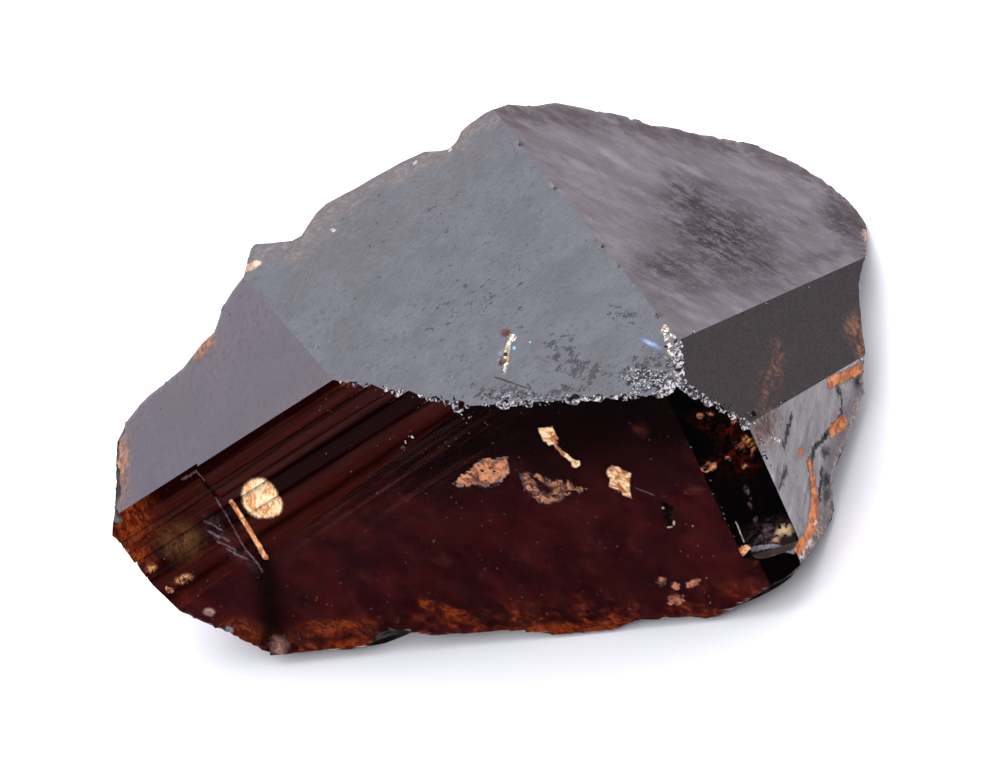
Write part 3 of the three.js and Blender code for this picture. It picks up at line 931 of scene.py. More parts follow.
LEFT_BLOCK_OVERLAYS = (
    Overlay("4e1408", "8e3c16", (Mark((128, 520), (22, 24), soft=0.9), Mark((116, 500), (10, 20), soft=0.8),
        Mark((247, 631), (22, 9), -15, soft=0.7), Mark((140, 556), (16, 10), -45, soft=0.8)), rag=(0.9, 0.4),
        speckle=0.2, gloss=0.8, melt=0.3),
    Overlay("3a2010", "5c3a20", (Mark((181, 542), (19, 16), soft=0.8),), rag=(0.6, 0.3), speckle=0.35,
        gloss=0.8),
    Overlay("8a4c24", "d08e50", (Mark((151, 568), (4, 6), -50, soft=0.4),
        Mark((183, 579), (10, 4), 15, soft=0.5), Mark((170, 590), (5, 3), -30),
        Mark((126, 552), (4, 3), soft=0.5)), rag=(0.3, 0.25), speckle=0.1, melt=0.1),
    Overlay("7c5a50", "b08a7c", (Mark((209, 612), (6, 4), soft=0.4),), rag=(0.35, 0.15), speckle=0.35),
    Overlay("6a6468", "a09aa2", (Mark((229, 630), (4, 4), soft=0.4),), rag=(0.35, 0.15), speckle=0.2),
    Overlay("5e3a2e", "a07460", (Mark((279, 646), (9, 10), 30, soft=0.5),), rag=(0.5, 0.3), melt=0.1),
    # Pale threads: the comb of fibres, and along the flake's crest (the first thread) a painted highlight.
    Overlay("8c7c84", "cfc6cc", (Thread(((216, 498), (229, 520), (243, 546), (262, 570)), 2.6, 0.9),
        Thread(((204, 521), (222, 530)), 2.2, 0.9), Thread(((208, 531), (229, 541)), 2.6, 0.9),
        Thread(((217, 541), (236, 550)), 2.2, 0.9), Thread(((226, 549), (246, 559)), 2.4, 0.9),
        Thread(((182, 480), (196, 471), (204, 480)), 2.4, 0.9)), rag=(0.4, 0.14), speckle=0.0, share=0.34),
    Overlay("7a6a72", "b4a8b0", (Mark((214, 522), (12, 5), -20, soft=0.9),
        Mark((222, 536), (13, 6), -20, soft=0.9), Mark((236, 554), (13, 6), -28, soft=0.9),
        Mark((252, 566), (9, 5), -35, soft=0.9)), rag=(0.4, 0.5), speckle=0.12, melt=0.2, share=0.22),
    Overlay("a85a2c", "f0ac74", (Thread(((232, 503), (240, 515), (249, 529), (258, 544),
        (265, 557)), 7.5, 0.25),), rag=(0.3, 0.07), speckle=0.0),
    # Painted shadow: a soft black band along the crease of the crack and the top of the flake.
    Overlay("050101", "0a0303", (Thread(((262, 560), (268, 584), (270, 612), (274, 652)), 30.0, 0.95),
        Thread(((200, 476), (216, 496)), 6.0, 0.8)), rag=(0.8, 0.25), speckle=0.45, gloss=0.85),
)

FRONT_OVERLAYS = LEFT_BLOCK_OVERLAYS + (
    Overlay("a0571e", "f2cf9c", (Mark((548, 434), (12, 9), -30, Outline.DIAMOND),
        Mark((551, 440), (8, 6), -30, Outline.DIAMOND), Thread(((556, 446), (563, 453)), 4.0),
        Thread(((563, 453), (575, 463)), 6.0), Mark((576, 464), (4, 4)),
        Mark((620, 480), (17, 13), -60, Outline.DIAMOND), Mark((616, 474), (10, 7), -20),
        Mark((626, 492), (9, 5), -50, Outline.DIAMOND)), rag=(0.4, 0.12), speckle=0.4),
    Overlay("5e2410", "d08a5c", (Mark((489, 472), (20, 13), 14), Mark((468, 480), (13, 6), 6),
        Mark((500, 466), (10, 7), 50)), rag=(0.45, 0.42), speckle=0.2, rim=0.5),
    Overlay("4e2412", "c07c50", (Thread(((527, 478), (533, 491), (546, 499), (560, 494), (568, 487)), 12.0),
        Thread(((540, 477), (550, 485), (562, 482)), 8.0), Mark((579, 490), (5, 3))), rag=(0.4, 0.5),
        speckle=0.12),
    Overlay("6a3422", "c4744e", (Mark((675, 586), (4, 4)), Mark((693, 583), (7, 4), 20),
        Mark((676, 600), (9, 5)), Mark((662, 581), (4, 3), soft=0.6)), rag=(0.35, 0.32), speckle=0.16),
    Overlay("3a1810", "6c3022", (Mark((694, 490), (9, 5), soft=0.8), Mark((640, 430), (6, 5), soft=0.8)),
        rag=(0.5, 0.4), speckle=0.12, gloss=0.6, melt=0.1),
    # Painted glow: amber patches along the thin bottom rim, where light would shine through.
    Overlay("561406", "a0430f", (Mark((336, 627), (30, 7), 5, soft=0.9), Mark((354, 645), (24, 5), soft=0.8),
        Mark((427, 605), (8, 5), -30, soft=0.7), Mark((456, 614), (17, 5), -22, soft=0.7),
        Mark((560, 630), (60, 5), 2, soft=0.9), Mark((610, 626), (16, 6), 10, soft=0.8)), rag=(0.9, 0.35),
        speckle=0.2, gloss=0.85, melt=0.45),
    Overlay("050304", "0d0707", (Mark((667, 514), (4, 13), 20),), rag=(0.4, 0.25), speckle=0.45, gloss=1.0),
    # Pale painted glints on the rim of the dark pit above.
    Overlay("6c5c40", "b4a080", (Mark((663, 508), (1.3, 1.3)), Mark((674, 523), (1.2, 2.4)),
        Mark((670, 527), (3, 1), 10)), rag=(0.3, 0.04), speckle=0.3),
    Overlay("2a2226", "605558", (Thread(((636, 488), (654, 495)), 1.4),), rag=(0.3, 0.05)),
)

STRIATED_OVERLAYS = LEFT_BLOCK_OVERLAYS + (
    Overlay("c8803e", "fadcae", (Mark((260, 498), (18, 21), 25), Mark((267, 505), (16, 14))), rag=(0.6, 0.16),
        speckle=0.4),
)

LEFT_STAINS = (
    Overlay("6c7078", "7c808a", (Mark((178, 455), (80, 42), 33, soft=0.9),
        Mark((280, 360), (70, 24), 33, soft=0.9)), rag=(1.6, 1.2), speckle=0.3, melt=0.5, share=0.35),
    Overlay("8a5638", "c28d64", (Mark((117, 460), (11, 40), soft=0.9), Mark((203, 347), (15, 8), 50, soft=0.8)),
        rag=(0.8, 0.35), speckle=0.16, melt=0.2),
)

TOP_STAINS = (
    Overlay("8a7458", "f0e4d0", (Mark((507, 354), (3, 19), -8), Mark((512, 337), (5, 4), -30)), rag=(0.3, 0.2),
        speckle=0.14),
    Overlay("3a1c18", "6e3428", (Mark((506, 333), (5, 4), soft=0.5),), rag=(0.3, 0.15)),
    Overlay("5fa0a8", "a6cfd0", (Mark((514, 348), (1.6, 2.4)), Mark((530, 342), (1.2, 1.2))), rag=(0.3, 0.05),
        speckle=0.3),
    Overlay("b9a692", "efe2cf", (Mark((674, 345), (8, 13), 20), Mark((666, 330), (5, 6))), rag=(0.3, 0.35),
        speckle=0.06),
    Overlay("b8977c", "e8cbae", (Mark((252, 266), (10, 4), 28),), rag=(0.3, 0.12), speckle=0.3),
    Overlay("7490b8", "8fa6c8", (Mark((650, 343), (10, 2.2), -25, soft=0.9),), rag=(0.4, 0.08), speckle=0.3,
        melt=0.1),
    Overlay("1e1c1f", "343236", (Thread(((495, 377), (527, 388)), 1.5),), rag=(0.3, 0.05), speckle=0.3),
    Overlay("7c6a60", "a08a7a", (Thread(((240, 270), (262, 252), (297, 250), (332, 208), (380, 184), (430, 158),
        (462, 134), (494, 112)), 34.0, 0.95),), rag=(1.3, 0.9), speckle=0.1, melt=0.4, share=0.7),
    Overlay("6e605a", "867468", (Mark((425, 200), (60, 26), 38, soft=0.9),
        Mark((350, 250), (70, 30), 25, soft=0.9), Mark((480, 150), (30, 14), 50, soft=0.9)), rag=(1.2, 0.9),
        speckle=0.06, melt=0.4, share=0.4),
    Overlay("b8aca0", "e4dcd2", (Mark((416, 163), (4, 1.6), 20), Mark((333, 230), (3, 1.6)),
        Mark((450, 150), (3, 1.6), 30)), rag=(0.3, 0.3), speckle=0.1),
)

BACK_RIGHT_OVERLAYS = (
    Overlay("8a6a58", "caa58c", (Thread(((866, 232), (874, 258), (872, 290)), 8.0, 0.8),), rag=(0.6, 0.4),
        speckle=0.14, melt=0.1),
    # Painted highlight: a cream dot on the rim.
    Overlay("d8d0c4", "f4efe8", (Mark((870, 249), (3, 4)),), rag=(0.3, 0.2), speckle=0.3),
)

CHARCOAL_OVERLAYS = (
    # Painted glow: orange-brown along the thin right rim.
    Overlay("4a2618", "a87048", (Mark((857, 328), (10, 13), soft=0.9), Mark((862, 345), (6, 14), soft=0.9),
        Mark((867, 300), (4, 26), soft=0.8)), rag=(0.6, 0.35), speckle=0.16, melt=0.3, share=0.7),
)

BLACK_OVERLAYS = (
    # Painted glow: dark red patches under the polish.
    Overlay("160402", "561204", (Mark((722, 426), (26, 9), -16, soft=0.9),
        Mark((740, 456), (20, 14), 10, soft=0.9), Mark((714, 463), (13, 5), 15, soft=0.9)), rag=(0.6, 0.7),
        speckle=0.02, gloss=0.8, melt=0.12),
    # Painted glints: small orange specks and a ring.
    Overlay("6e2410", "d07c44", (Mark((700, 416), (4, 3), 30, soft=0.5), Mark((711, 414), (2.5, 2), soft=0.5),
        Mark((736, 421), (3, 2), soft=0.5), Mark((707, 468), (8, 3.4), 8, Outline.RING, soft=0.4),
        Mark((712, 465), (5, 3)), Mark((745, 466), (3, 2.4), soft=0.5), Mark((728, 458), (3, 1.6), soft=0.6),
        Mark((752, 452), (2, 3), soft=0.6)), rag=(0.3, 0.34), speckle=0.12, melt=0.1),
    # Painted glow: a yellow-amber patch.
    Overlay("8a3a06", "f09c2c", (Mark((748, 442), (9, 5), -38, soft=0.6),
        Mark((741, 447), (6, 3), -30, soft=0.7)), rag=(0.4, 0.4), speckle=0.12, melt=0.1, share=0.85),
    Overlay("2a2024", "6e5a5e", (Mark((747, 492), (2, 5), 15, soft=0.8), Mark((750, 503), (2, 5), 15, soft=0.8),
        Mark((755, 520), (2, 3), soft=0.8), Mark((772, 535), (20, 11), 10, soft=0.9)), rag=(0.4, 0.3),
        speckle=0.06, gloss=0.8, melt=0.2),
    Overlay("6a5040", "ccaa80", (Mark((784, 531), (9, 6), 10, soft=0.6),), rag=(0.35, 0.35), speckle=0.18),
    Overlay("7c5444", "c89478", (Mark((776, 540), (5, 4), soft=0.6),), rag=(0.35, 0.25), speckle=0.2),
    Overlay("7c6c5c", "b4a494", (Thread(((736, 522), (744, 542)), 1.5),), rag=(0.3, 0.05), speckle=0.3),
    Overlay("a8562c", "f0b484", (Mark((743, 551), (9, 4), 24),), rag=(0.35, 0.3), speckle=0.2),
    # Painted sheen: a grey band along a ledge.
    Overlay("5c565c", "9a949c", (Thread(((754, 549), (772, 546), (793, 551)), 6.0),), rag=(0.4, 0.15),
        speckle=0.3),
)

RIGHT_OVERLAYS = (
    Overlay("33211f", "745448", (Mark((763, 424), (11, 20), -18, soft=0.9),), rag=(0.5, 0.4), speckle=0.16,
        melt=0.2),
    Overlay("1c1818", "342c2c", (Thread(((814, 452), (811, 462)), 9.0), Thread(((792, 416), (788, 430),
        (784, 446)), 6.0, 0.8), Thread(((812, 450), (828, 434), (842, 414), (842, 398),
        (838, 386)), 5.0, 0.7), Thread(((786, 470), (780, 486)), 8.0, 0.9), Thread(((822, 470),
        (820, 500)), 5.0, 0.9), Mark((826, 452), (4, 5), soft=0.8)), rag=(0.4, 0.35), speckle=0.26, melt=0.1),
    Overlay("9c5226", "e08c54", (Thread(((810, 464), (813, 480)), 11.0), Thread(((813, 480), (815, 500)), 15.0),
        Thread(((815, 500), (813, 524)), 21.0), Thread(((813, 524), (805, 542), (793, 557)), 15.0),
        Thread(((829, 383), (846, 376), (861, 368)), 11.0), Thread(((832, 431), (844, 422)), 14.0),
        Mark((801, 452), (2.5, 5), soft=0.7)), rag=(0.5, 0.22), speckle=0.3),
    # Pale crumbs and a pale lower rim; the speck on the vein is a painted highlight.
    Overlay("cfc6c0", "f6f2ee", (Mark((816, 522), (2.2, 2.2)), Mark((778, 440), (4, 2.4), -30),
        Thread(((812, 540), (804, 553), (798, 562)), 5.0)), rag=(0.3, 0.3), speckle=0.06),
)


def crystal_finishes() -> list[FaceFinish]:
    """Every finish of the crystal, in the order of its material slots."""
    deep = Lustre("270608", "3e0c0d", 2.6, (0.1, 0.2), pits=0.0, tooth=0.0004)
    banded = Lustre("260505", "430b09", 2.6, (0.06, 0.12), specular=0.02, pits=0.0, tooth=0.0004)
    return [
        FaceFinish("slate_top_face", Facet.TOP,
                   Lustre("15161a", "24252b", 2.5, (0.14, 0.3), pits=0.7, mottle=0.42, dust=0.5),
                   TOP_STAINS, top_extra),
        FaceFinish("purple_left_face", Facet.LEFT,
                   Lustre("1d191f", "2b262e", 3.0, (0.12, 0.24), pits=0.5, mottle=0.36, dust=0.4,
                          tooth=0.003),
                   LEFT_STAINS, lambda finish: paint_rim_glow(finish, 0.5)),
        FaceFinish("etched_back_face", Facet.BACK_RIGHT,
                   Lustre("17141a", "251f27", 3.0, (0.16, 0.3), pits=0.2, mottle=0.2),
                   BACK_RIGHT_OVERLAYS, etched_extra),
        FaceFinish("charcoal_face", Facet.CHARCOAL,
                   Lustre("1a1818", "262324", 2.0, (0.35, 0.5), specular=0.2, pits=0.3, dust=0.25),
                   CHARCOAL_OVERLAYS, matte_extra),
        FaceFinish("blood_front_face", Facet.FRONT, deep, FRONT_OVERLAYS, deep_extra),
        FaceFinish("striated_face", Facet.STRIATED, banded, STRIATED_OVERLAYS, deep_extra),
        FaceFinish("mirror_black_face", Facet.BLACK,
                   Lustre("020101", "060202", 3.0, (0.03, 0.08), pits=0.0, tooth=0.0004), BLACK_OVERLAYS),
        FaceFinish("cracked_right_face", Facet.RIGHT,
                   Lustre("1b191c", "2b272c", 1.6, (0.14, 0.3), wave=0.12, wave_size=2.4),
                   RIGHT_OVERLAYS, cracked_extra),
        FaceFinish("crushed_edge", Facet.CRUSHED,
                   Lustre("2a2526", "5a5455", 0.8, (0.15, 0.4), pits=0.0), (), crushed_extra),
        FaceFinish("flake_wall", Facet.WALL,
                   Lustre("080202", "140605", 1.5, (0.5, 0.7), specular=0.02, pits=0.0)),
        FaceFinish("hackly_break", Facet.BROKEN,
                   Lustre("150b0a", "2e1813", 2.0, (0.4, 0.7), specular=0.3, pits=0.2, wave=0.03,
                          wave_size=0.6),
                   (), broken_extra),
    ]


# ---------------------------------------------------------------- the crystal's mesh


def cells_at(point: Vector) -> float:
    """How far a point is from its nearest cell centre, 1 at most, in units of the cells' spacing."""
    return min(1.0, noise.voronoi(point)[0][0])


def gaps_to(points: np.ndarray, start: Vector, end: Vector) -> np.ndarray:
    """How far each of many points is from the straight line between two ends."""
    origin, run = np.array(start), np.array(end - start)
    share = np.clip((points - origin) @ run / (run @ run), 0, 1)
    return np.linalg.norm(points - origin - share[:, None] * run, axis=1)


def surface_tree(mesh: bpy.types.Mesh) -> BVHTree:
    """A search tree over the faces of a mesh."""
    body = bmesh.new()
    body.from_mesh(mesh)
    tree = BVHTree.FromBMesh(body)
    body.free()
    return tree


def add_object(name: str, data: bpy.types.ID) -> bpy.types.Object:
    """Adds an object to the scene.

    Args:
        name: its name.
        data: its mesh, light or camera.

    Returns:
        The object.
    """
    made = bpy.data.objects.new(name, data)
    bpy.context.scene.collection.objects.link(made)
    return made


@dataclass(frozen=True)
class Sorting:
    """What makes a triangle part of a surface: distances in millimetres, and leans as their cosines.

    Attributes:
        near: how far it may be from a face.
        near_chipped: the same for the two faces whose edges are chipped back.
        square: how squarely it has to face the way the face does.
        square_stepped: the same for the face with growth steps.
        proud: how far it may stand out in front of a face.
        crushed_reach: how far the crushing reaches from its edges.
        flake_floor: above this cosine it is the floor of a flake scar.
        flake_wall: above this one it is the scar's wall.
        flake_depth: how deep the scar goes.
        flake_reach: how far it reaches from its line.
        rim_height: height of the broken rim.
        left_end: where the crystal's left end starts.
        left_rim_height: height of the rim there.
    """

    near: float = 0.32
    near_chipped: float = 0.75
    square: float = 0.985
    square_stepped: float = 0.9
    proud: float = 0.02
    crushed_reach: float = 0.75
    flake_floor: float = 0.85
    flake_wall: float = -0.6
    flake_depth: float = 1.3
    flake_reach: float = 1.3
    rim_height: float = 3.0
    left_end: float = -13.0
    left_rim_height: float = 0.9


@dataclass(frozen=True)
class Relief:
    """Depths and sizes of the relief, in millimetres.

    Attributes:
        fade: how far from a seam it reaches its full depth.
        seam_share: how much of it is left at the seams of a break.
        resting: below this height nothing moves, so that the crystal keeps its resting face.
        broken: depth of the hollows in a break.
        hollows: sizes of the large and the small hollows.
        hollow_shares: how deep each kind goes, as shares of the depth.
        hollow_bend: size and reach of the bends in them.
        hollow_offset: keeps the small hollows from lining up with the large ones.
        crushed: depth of the chips.
        chip: their size.
        etched: depth of the ripples.
        patch: size of the patches that they fade in and out of.
        cracked: depth of the plates.
        plate: their size.
        plate_share: share of that depth beside the vein's own step.
        plate_bend: size and reach of the bends in them.
        vein_bend: size and reach of the bends in the vein.
        vein_step: how far the plates are set back beyond the vein.
        vein_ramp: width of that step.
        vein_swell: how far the vein stands proud.
        vein_width: width of the swelling on each side.
    """

    fade: float = 0.9
    seam_share: float = 0.3
    resting: float = 0.02
    broken: float = 0.42
    hollows: Pair = (2.8, 0.95)
    hollow_shares: Pair = (0.7, 0.3)
    hollow_bend: Pair = (2.5, 1.2)
    hollow_offset: Triple = (7, 3, 5)
    crushed: float = 0.16
    chip: float = 0.45
    etched: float = 0.07
    patch: float = 4.0
    cracked: float = 0.16
    plate: float = 2.4
    plate_share: float = 0.7
    plate_bend: Pair = (2.0, 0.9)
    vein_bend: Pair = (0.7, 0.15)
    vein_step: float = 0.3
    vein_ramp: float = 0.25
    vein_swell: float = 0.1
    vein_width: float = 0.35


def bent(point: Vector, bend: Pair) -> Vector:
    """A point moved by noise of the given size and reach."""
    return point + noise.noise_vector(point / bend[0]) * bend[1]


VEIN = ((838, 384), (842, 400), (842, 414), (828, 434), (812, 450), (811, 464), (813, 480), (815, 500),
        (813, 524), (805, 542), (793, 557))
FLAKE = ((198, 466), (216, 496), (229, 520), (243, 546), (262, 558), (268, 584), (270, 612), (273, 648))


@dataclass
class Crystal:
    """The crystal itself: the solid's shape, refined, with relief on its faces and breaks.

    Attributes:
        planes: its faces.
        eye: the viewpoint that its vein and its flake are placed for.
        sorting: what tells its surfaces apart.
        relief: how deep its relief goes.
        weld: corners closer than this become one, in millimetres.
        flat_angle: triangles that lean less than this are one face, in degrees.
        grid: spacing of the cuts that refine it, in millimetres.
        cut: how close a cut passes to a corner before it takes that corner, in metres.
        longest: edges longer than this are halved, in millimetres.
        sharp_angle: edges bent by more than this stay sharp, in degrees.
        amber_depth: where it is thinner than this, an amber glow is painted into its colour, in millimetres.
        skin: how far inside the surface its thickness is measured from, in millimetres.
        finishes: its materials.
    """

    planes: dict[Facet, Plane]
    eye: Viewpoint
    sorting: Sorting = Sorting()
    relief: Relief = Relief()
    weld: float = 0.004
    flat_angle: float = 0.5
    grid: float = 0.62
    cut: float = 1e-7
    longest: float = 0.5
    sharp_angle: float = 28.0
    amber_depth: float = 1.6
    skin: float = 0.02
    finishes: list[FaceFinish] = field(default_factory=crystal_finishes)

    def __post_init__(self) -> None:
        """Numbers the finishes by their surface."""
        self.rank: dict[Facet, int] = {finish.facet: i for i, finish in enumerate(self.finishes)}

    def build(self) -> bpy.types.Object:
        """Makes the finished piece.

        Returns:
            The crystal's object.
        """
        mesh = self._refined()
        kinds = self._sort_faces(mesh)
        self._add_relief(mesh, kinds)
        self._measure_thickness(mesh)
        for finish in self.finishes:
            mesh.materials.append(finish.make(self.planes, self.eye))
        mesh.polygons.foreach_set("material_index", np.array(kinds, dtype=np.int32))
        curved = [self.rank[facet] for facet in (Facet.BROKEN, Facet.BACK_RIGHT, Facet.RIGHT)]
        # Marking the sharp edges makes every face smooth, so the flat faces are set after it.
        mesh.set_sharp_from_angle(angle=math.radians(self.sharp_angle))
        mesh.polygons.foreach_set("use_smooth", np.isin(kinds, curved))
        mesh.update()
        return add_object("crystal", mesh)

    def _refined(self) -> bpy.types.Mesh:
        """A copy of the solid's mesh, merged and cut into small triangles, in metres."""
        body = bmesh.new()
        body.from_mesh(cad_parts[NODE].data)
        bmesh.ops.remove_doubles(body, verts=body.verts, dist=self.weld * MM)
        flat = math.radians(self.flat_angle)
        bmesh.ops.dissolve_limit(body, angle_limit=flat, verts=body.verts, edges=body.edges)
        low, high = (np.array(corner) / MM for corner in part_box(NODE))
        for axis in range(3):
            normal = [float(axis == i) for i in range(3)]
            for level in np.arange(low[axis] - self.grid / 2, high[axis], self.grid):
                everything = body.verts[:] + body.edges[:] + body.faces[:]
                plane = [c * level * MM for c in normal]
                bmesh.ops.bisect_plane(body, geom=everything, dist=self.cut, plane_co=plane, plane_no=normal)
        bmesh.ops.remove_doubles(body, verts=body.verts, dist=self.weld * MM)
        bmesh.ops.triangulate(body, faces=body.faces)
        long = [edge for edge in body.edges if edge.calc_length() > self.longest * MM]
        bmesh.ops.subdivide_edges(body, edges=long, cuts=1)
        bmesh.ops.triangulate(body, faces=[face for face in body.faces if len(face.verts) > 3])
        mesh = bpy.data.meshes.new("crystal")
        body.to_mesh(mesh)
        body.free()
        return mesh

    def crushed_edges(self) -> list[tuple[Vector, Vector, float]]:
        """The edges that have been crushed, each as two ends and how badly.

        Returns:
            One row for each edge, its ends in millimetres.
        """
        edges = (
            (Facet.TOP, Facet.STRIATED, Facet.LEFT, Facet.FRONT, 0.6),
            (Facet.TOP, Facet.FRONT, Facet.STRIATED, Facet.BLACK, 1.0),
            (Facet.TOP, Facet.CHARCOAL, Facet.BACK_RIGHT, Facet.BLACK, 1.0),
            (Facet.CHARCOAL, Facet.BLACK, Facet.TOP, Facet.RIGHT, 0.9),
            (Facet.TOP, Facet.BLACK, Facet.FRONT, Facet.CHARCOAL, 1.0),
        )
        return [(self._corner(one, two, first), self._corner(one, two, last), share)
                for one, two, first, last, share in edges]

    def _corner(self, *facets: Facet) -> Vector:
        """The point where three of its faces meet."""
        return meeting(*(self.planes[facet] for facet in facets))

    def crumb_lines(self) -> list[tuple[Vector, Vector, float]]:
        """The lines that crumbs lie along, each as two ends and how thickly they lie.

        Returns:
            One row for each line, its ends in millimetres.
        """
        charcoal = self.planes[Facet.CHARCOAL]
        lines = self.crushed_edges() + [
            (self._corner(Facet.CHARCOAL, Facet.RIGHT, Facet.BLACK), self.eye.on(charcoal, 863, 356), 0.12),
            (self._corner(Facet.CHARCOAL, Facet.BACK_RIGHT, Facet.TOP), self.eye.on(charcoal, 862, 268), 0.1),
        ]
        strewn = {
            Facet.TOP: (
                ((560, 402), (662, 399), 0.9), ((610, 397), (667, 393), 0.8), ((634, 389), (670, 386), 0.9),
                ((648, 381), (674, 378), 0.9), ((660, 372), (676, 369), 0.9), ((666, 361), (680, 358), 0.8),
                ((664, 350), (682, 350), 0.6), ((660, 338), (674, 338), 0.5), ((430, 398), (560, 404), 0.5)),
            Facet.FRONT: (
                ((390, 452), (428, 436), 0.5), ((396, 448), (436, 430), 0.5), ((424, 437), (470, 418), 0.4),
                ((430, 430), (482, 411), 0.5), ((405, 440), (470, 412), 0.3), ((690, 520), (712, 610), 0.25),
                ((677, 406), (740, 552), 0.2)),
            Facet.RIGHT: (
                ((750, 414), (762, 446), 0.8), ((760, 414), (776, 444), 0.5), ((762, 446), (772, 474), 0.6)),
            Facet.CHARCOAL: (((694, 396), (756, 418), 0.6),),
        }
        for facet, spots in strewn.items():
            plane = self.planes[facet]
            lines += [(self.eye.on(plane, *start), self.eye.on(plane, *end), share)
                      for start, end, share in spots]
        return lines

    def _sort_faces(self, mesh: bpy.types.Mesh) -> list[int]:
        """Which finish each triangle takes.

        Args:
            mesh: the refined mesh.

        Returns:
            An index into the finishes for each triangle.
        """
        count = len(mesh.polygons)
        centres, normals = np.empty(count * 3), np.empty(count * 3)
        mesh.polygons.foreach_get("center", centres)
        mesh.polygons.foreach_get("normal", normals)
        centres, normals = centres.reshape(-1, 3) / MM, normals.reshape(-1, 3)
        limits, broken = self.sorting, self.rank[Facet.BROKEN]
        kinds, best = np.full(count, broken), np.full(count, np.inf)
        for facet, plane in self.planes.items():
            depth = plane.level - centres @ np.array(plane.normal)
            facing = normals @ np.array(plane.normal)
            slack = limits.near_chipped if facet in (Facet.BLACK, Facet.FRONT) else limits.near
            least = limits.square_stepped if facet is Facet.STRIATED else limits.square
            hit = (np.abs(depth) < slack) & (facing > least) & (np.abs(depth) < best)
            kinds[hit], best[hit] = self.rank[facet], np.abs(depth)[hit]
        loose = kinds == broken
        for start, end, _ in self.crushed_edges():
            kinds[loose & (gaps_to(centres, start, end) < limits.crushed_reach)] = self.rank[Facet.CRUSHED]
        across, height = centres[:, 0], centres[:, 2]
        at_left = (across < limits.left_end) & (height > limits.left_rim_height)
        above_rim = (height > limits.rim_height) | at_left
        for facet in (Facet.FRONT, Facet.STRIATED):
            plane = self.planes[facet]
            depth = plane.level - centres @ np.array(plane.normal)
            facing = normals @ np.array(plane.normal)
            behind, floor = depth > -limits.proud, facing > limits.flake_floor
            inner = (kinds == broken) & behind & (depth < limits.near) & above_rim
            kinds[inner & floor] = self.rank[facet]
            kinds[inner & (facing > limits.flake_wall) & ~floor] = self.rank[Facet.WALL]
            deep = (kinds == broken) & behind & (depth < limits.flake_depth) & (facing > limits.flake_wall)
            path = [self.eye.on(plane, *spot) for spot in FLAKE]
            for start, end in zip(path, path[1:]):
                kinds[deep & (gaps_to(centres, start, end) < limits.flake_reach)] = self.rank[Facet.WALL]
        return kinds.tolist()

    def _add_relief(self, mesh: bpy.types.Mesh, kinds: list[int]) -> None:
        """Presses the relief of the breaks, the etched face and the cracked face into the mesh.

        Args:
            mesh: the refined mesh, changed in place.
            kinds: the finish of each triangle.
        """
        facets = list(self.rank)
        touching: list[set[Facet]] = [set() for _ in mesh.vertices]
        for polygon, kind in zip(mesh.polygons, kinds):
            for i in polygon.vertices:
                touching[i].add(facets[kind])
        seams = [i for i, found in enumerate(touching) if len(found) > 1]
        tree = KDTree(len(seams))
        for i in seams:
            tree.insert(mesh.vertices[i].co / MM, i)
        tree.balance()
        shapes = {Facet.BROKEN: self._break_depth, Facet.CRUSHED: self._crushed_depth,
                  Facet.BACK_RIGHT: self._etched_depth, Facet.RIGHT: self._cracked_depth}
        moved = []
        for vertex, found in zip(mesh.vertices, touching):
            point = vertex.co / MM
            depths = [shapes[facet](point) for facet in found if facet in shapes]
            if not depths or point.z < self.relief.resting:
                moved.append(vertex.co.copy())
                continue
            least = self.relief.seam_share if Facet.BROKEN in found else 0.0
            share = least + (1 - least) * min(1.0, tree.find(point)[2] / self.relief.fade)
            moved.append((point - vertex.normal * (max(depths) * share)) * MM)
        for vertex, place in zip(mesh.vertices, moved):
            vertex.co = place
            vertex.co.z = max(vertex.co.z, 0.0)

    def _break_depth(self, point: Vector) -> float:
        """Scalloped hollows with sharp ridges between them."""
        look = self.relief
        point = bent(point, look.hollow_bend)
        large = 1 - cells_at(point / look.hollows[0])
        small = 1 - cells_at(point / look.hollows[1] + Vector(look.hollow_offset))
        return look.broken * (look.hollow_shares[0] * large + look.hollow_shares[1] * small)

    def _crushed_depth(self, point: Vector) -> float:
        """Small angular chips."""
        return self.relief.crushed * (1 - cells_at(point / self.relief.chip))

    def _etched_depth(self, point: Vector) -> float:
        """Shallow dissolved ripples on the etched patch."""
        ripple = 0.5 + 0.5 * noise.noise(Vector((point.x * 0.5 + point.z * 0.4, point.y * 1.1, 3.0)))
        return self.relief.etched * ripple * (0.5 + 0.5 * noise.noise(point / self.relief.patch))

    def _cracked_depth(self, point: Vector) -> float:
        """Wavy plates, set back to the right of the long vein, which stands proud of them."""
        look = self.relief
        plates = look.cracked * (1 - cells_at(bent(point, look.plate_bend) / look.plate))
        gap, beyond = self._past_vein(bent(point, look.vein_bend))
        step = look.vein_step * min(1.0, gap / look.vein_ramp) * beyond
        return plates * look.plate_share + step - look.vein_swell * max(0.0, 1 - gap / look.vein_width)

    def _past_vein(self, point: Vector) -> tuple[float, float]:
        """How far a point is from the long vein, and 1 if it lies to the vein's right."""
        plane = self.planes[Facet.RIGHT]
        path = [self.eye.on(plane, *spot) for spot in VEIN]
        best, beyond = math.inf, 0.0
        for start, end in zip(path, path[1:]):
            run = end - start
            share = min(1.0, max(0.0, (point - start).dot(run) / run.length_squared))
            away = point - start - run * share
            if away.length < best:
                best, beyond = away.length, float(run.cross(plane.normal).dot(away) < 0)
        return best, beyond

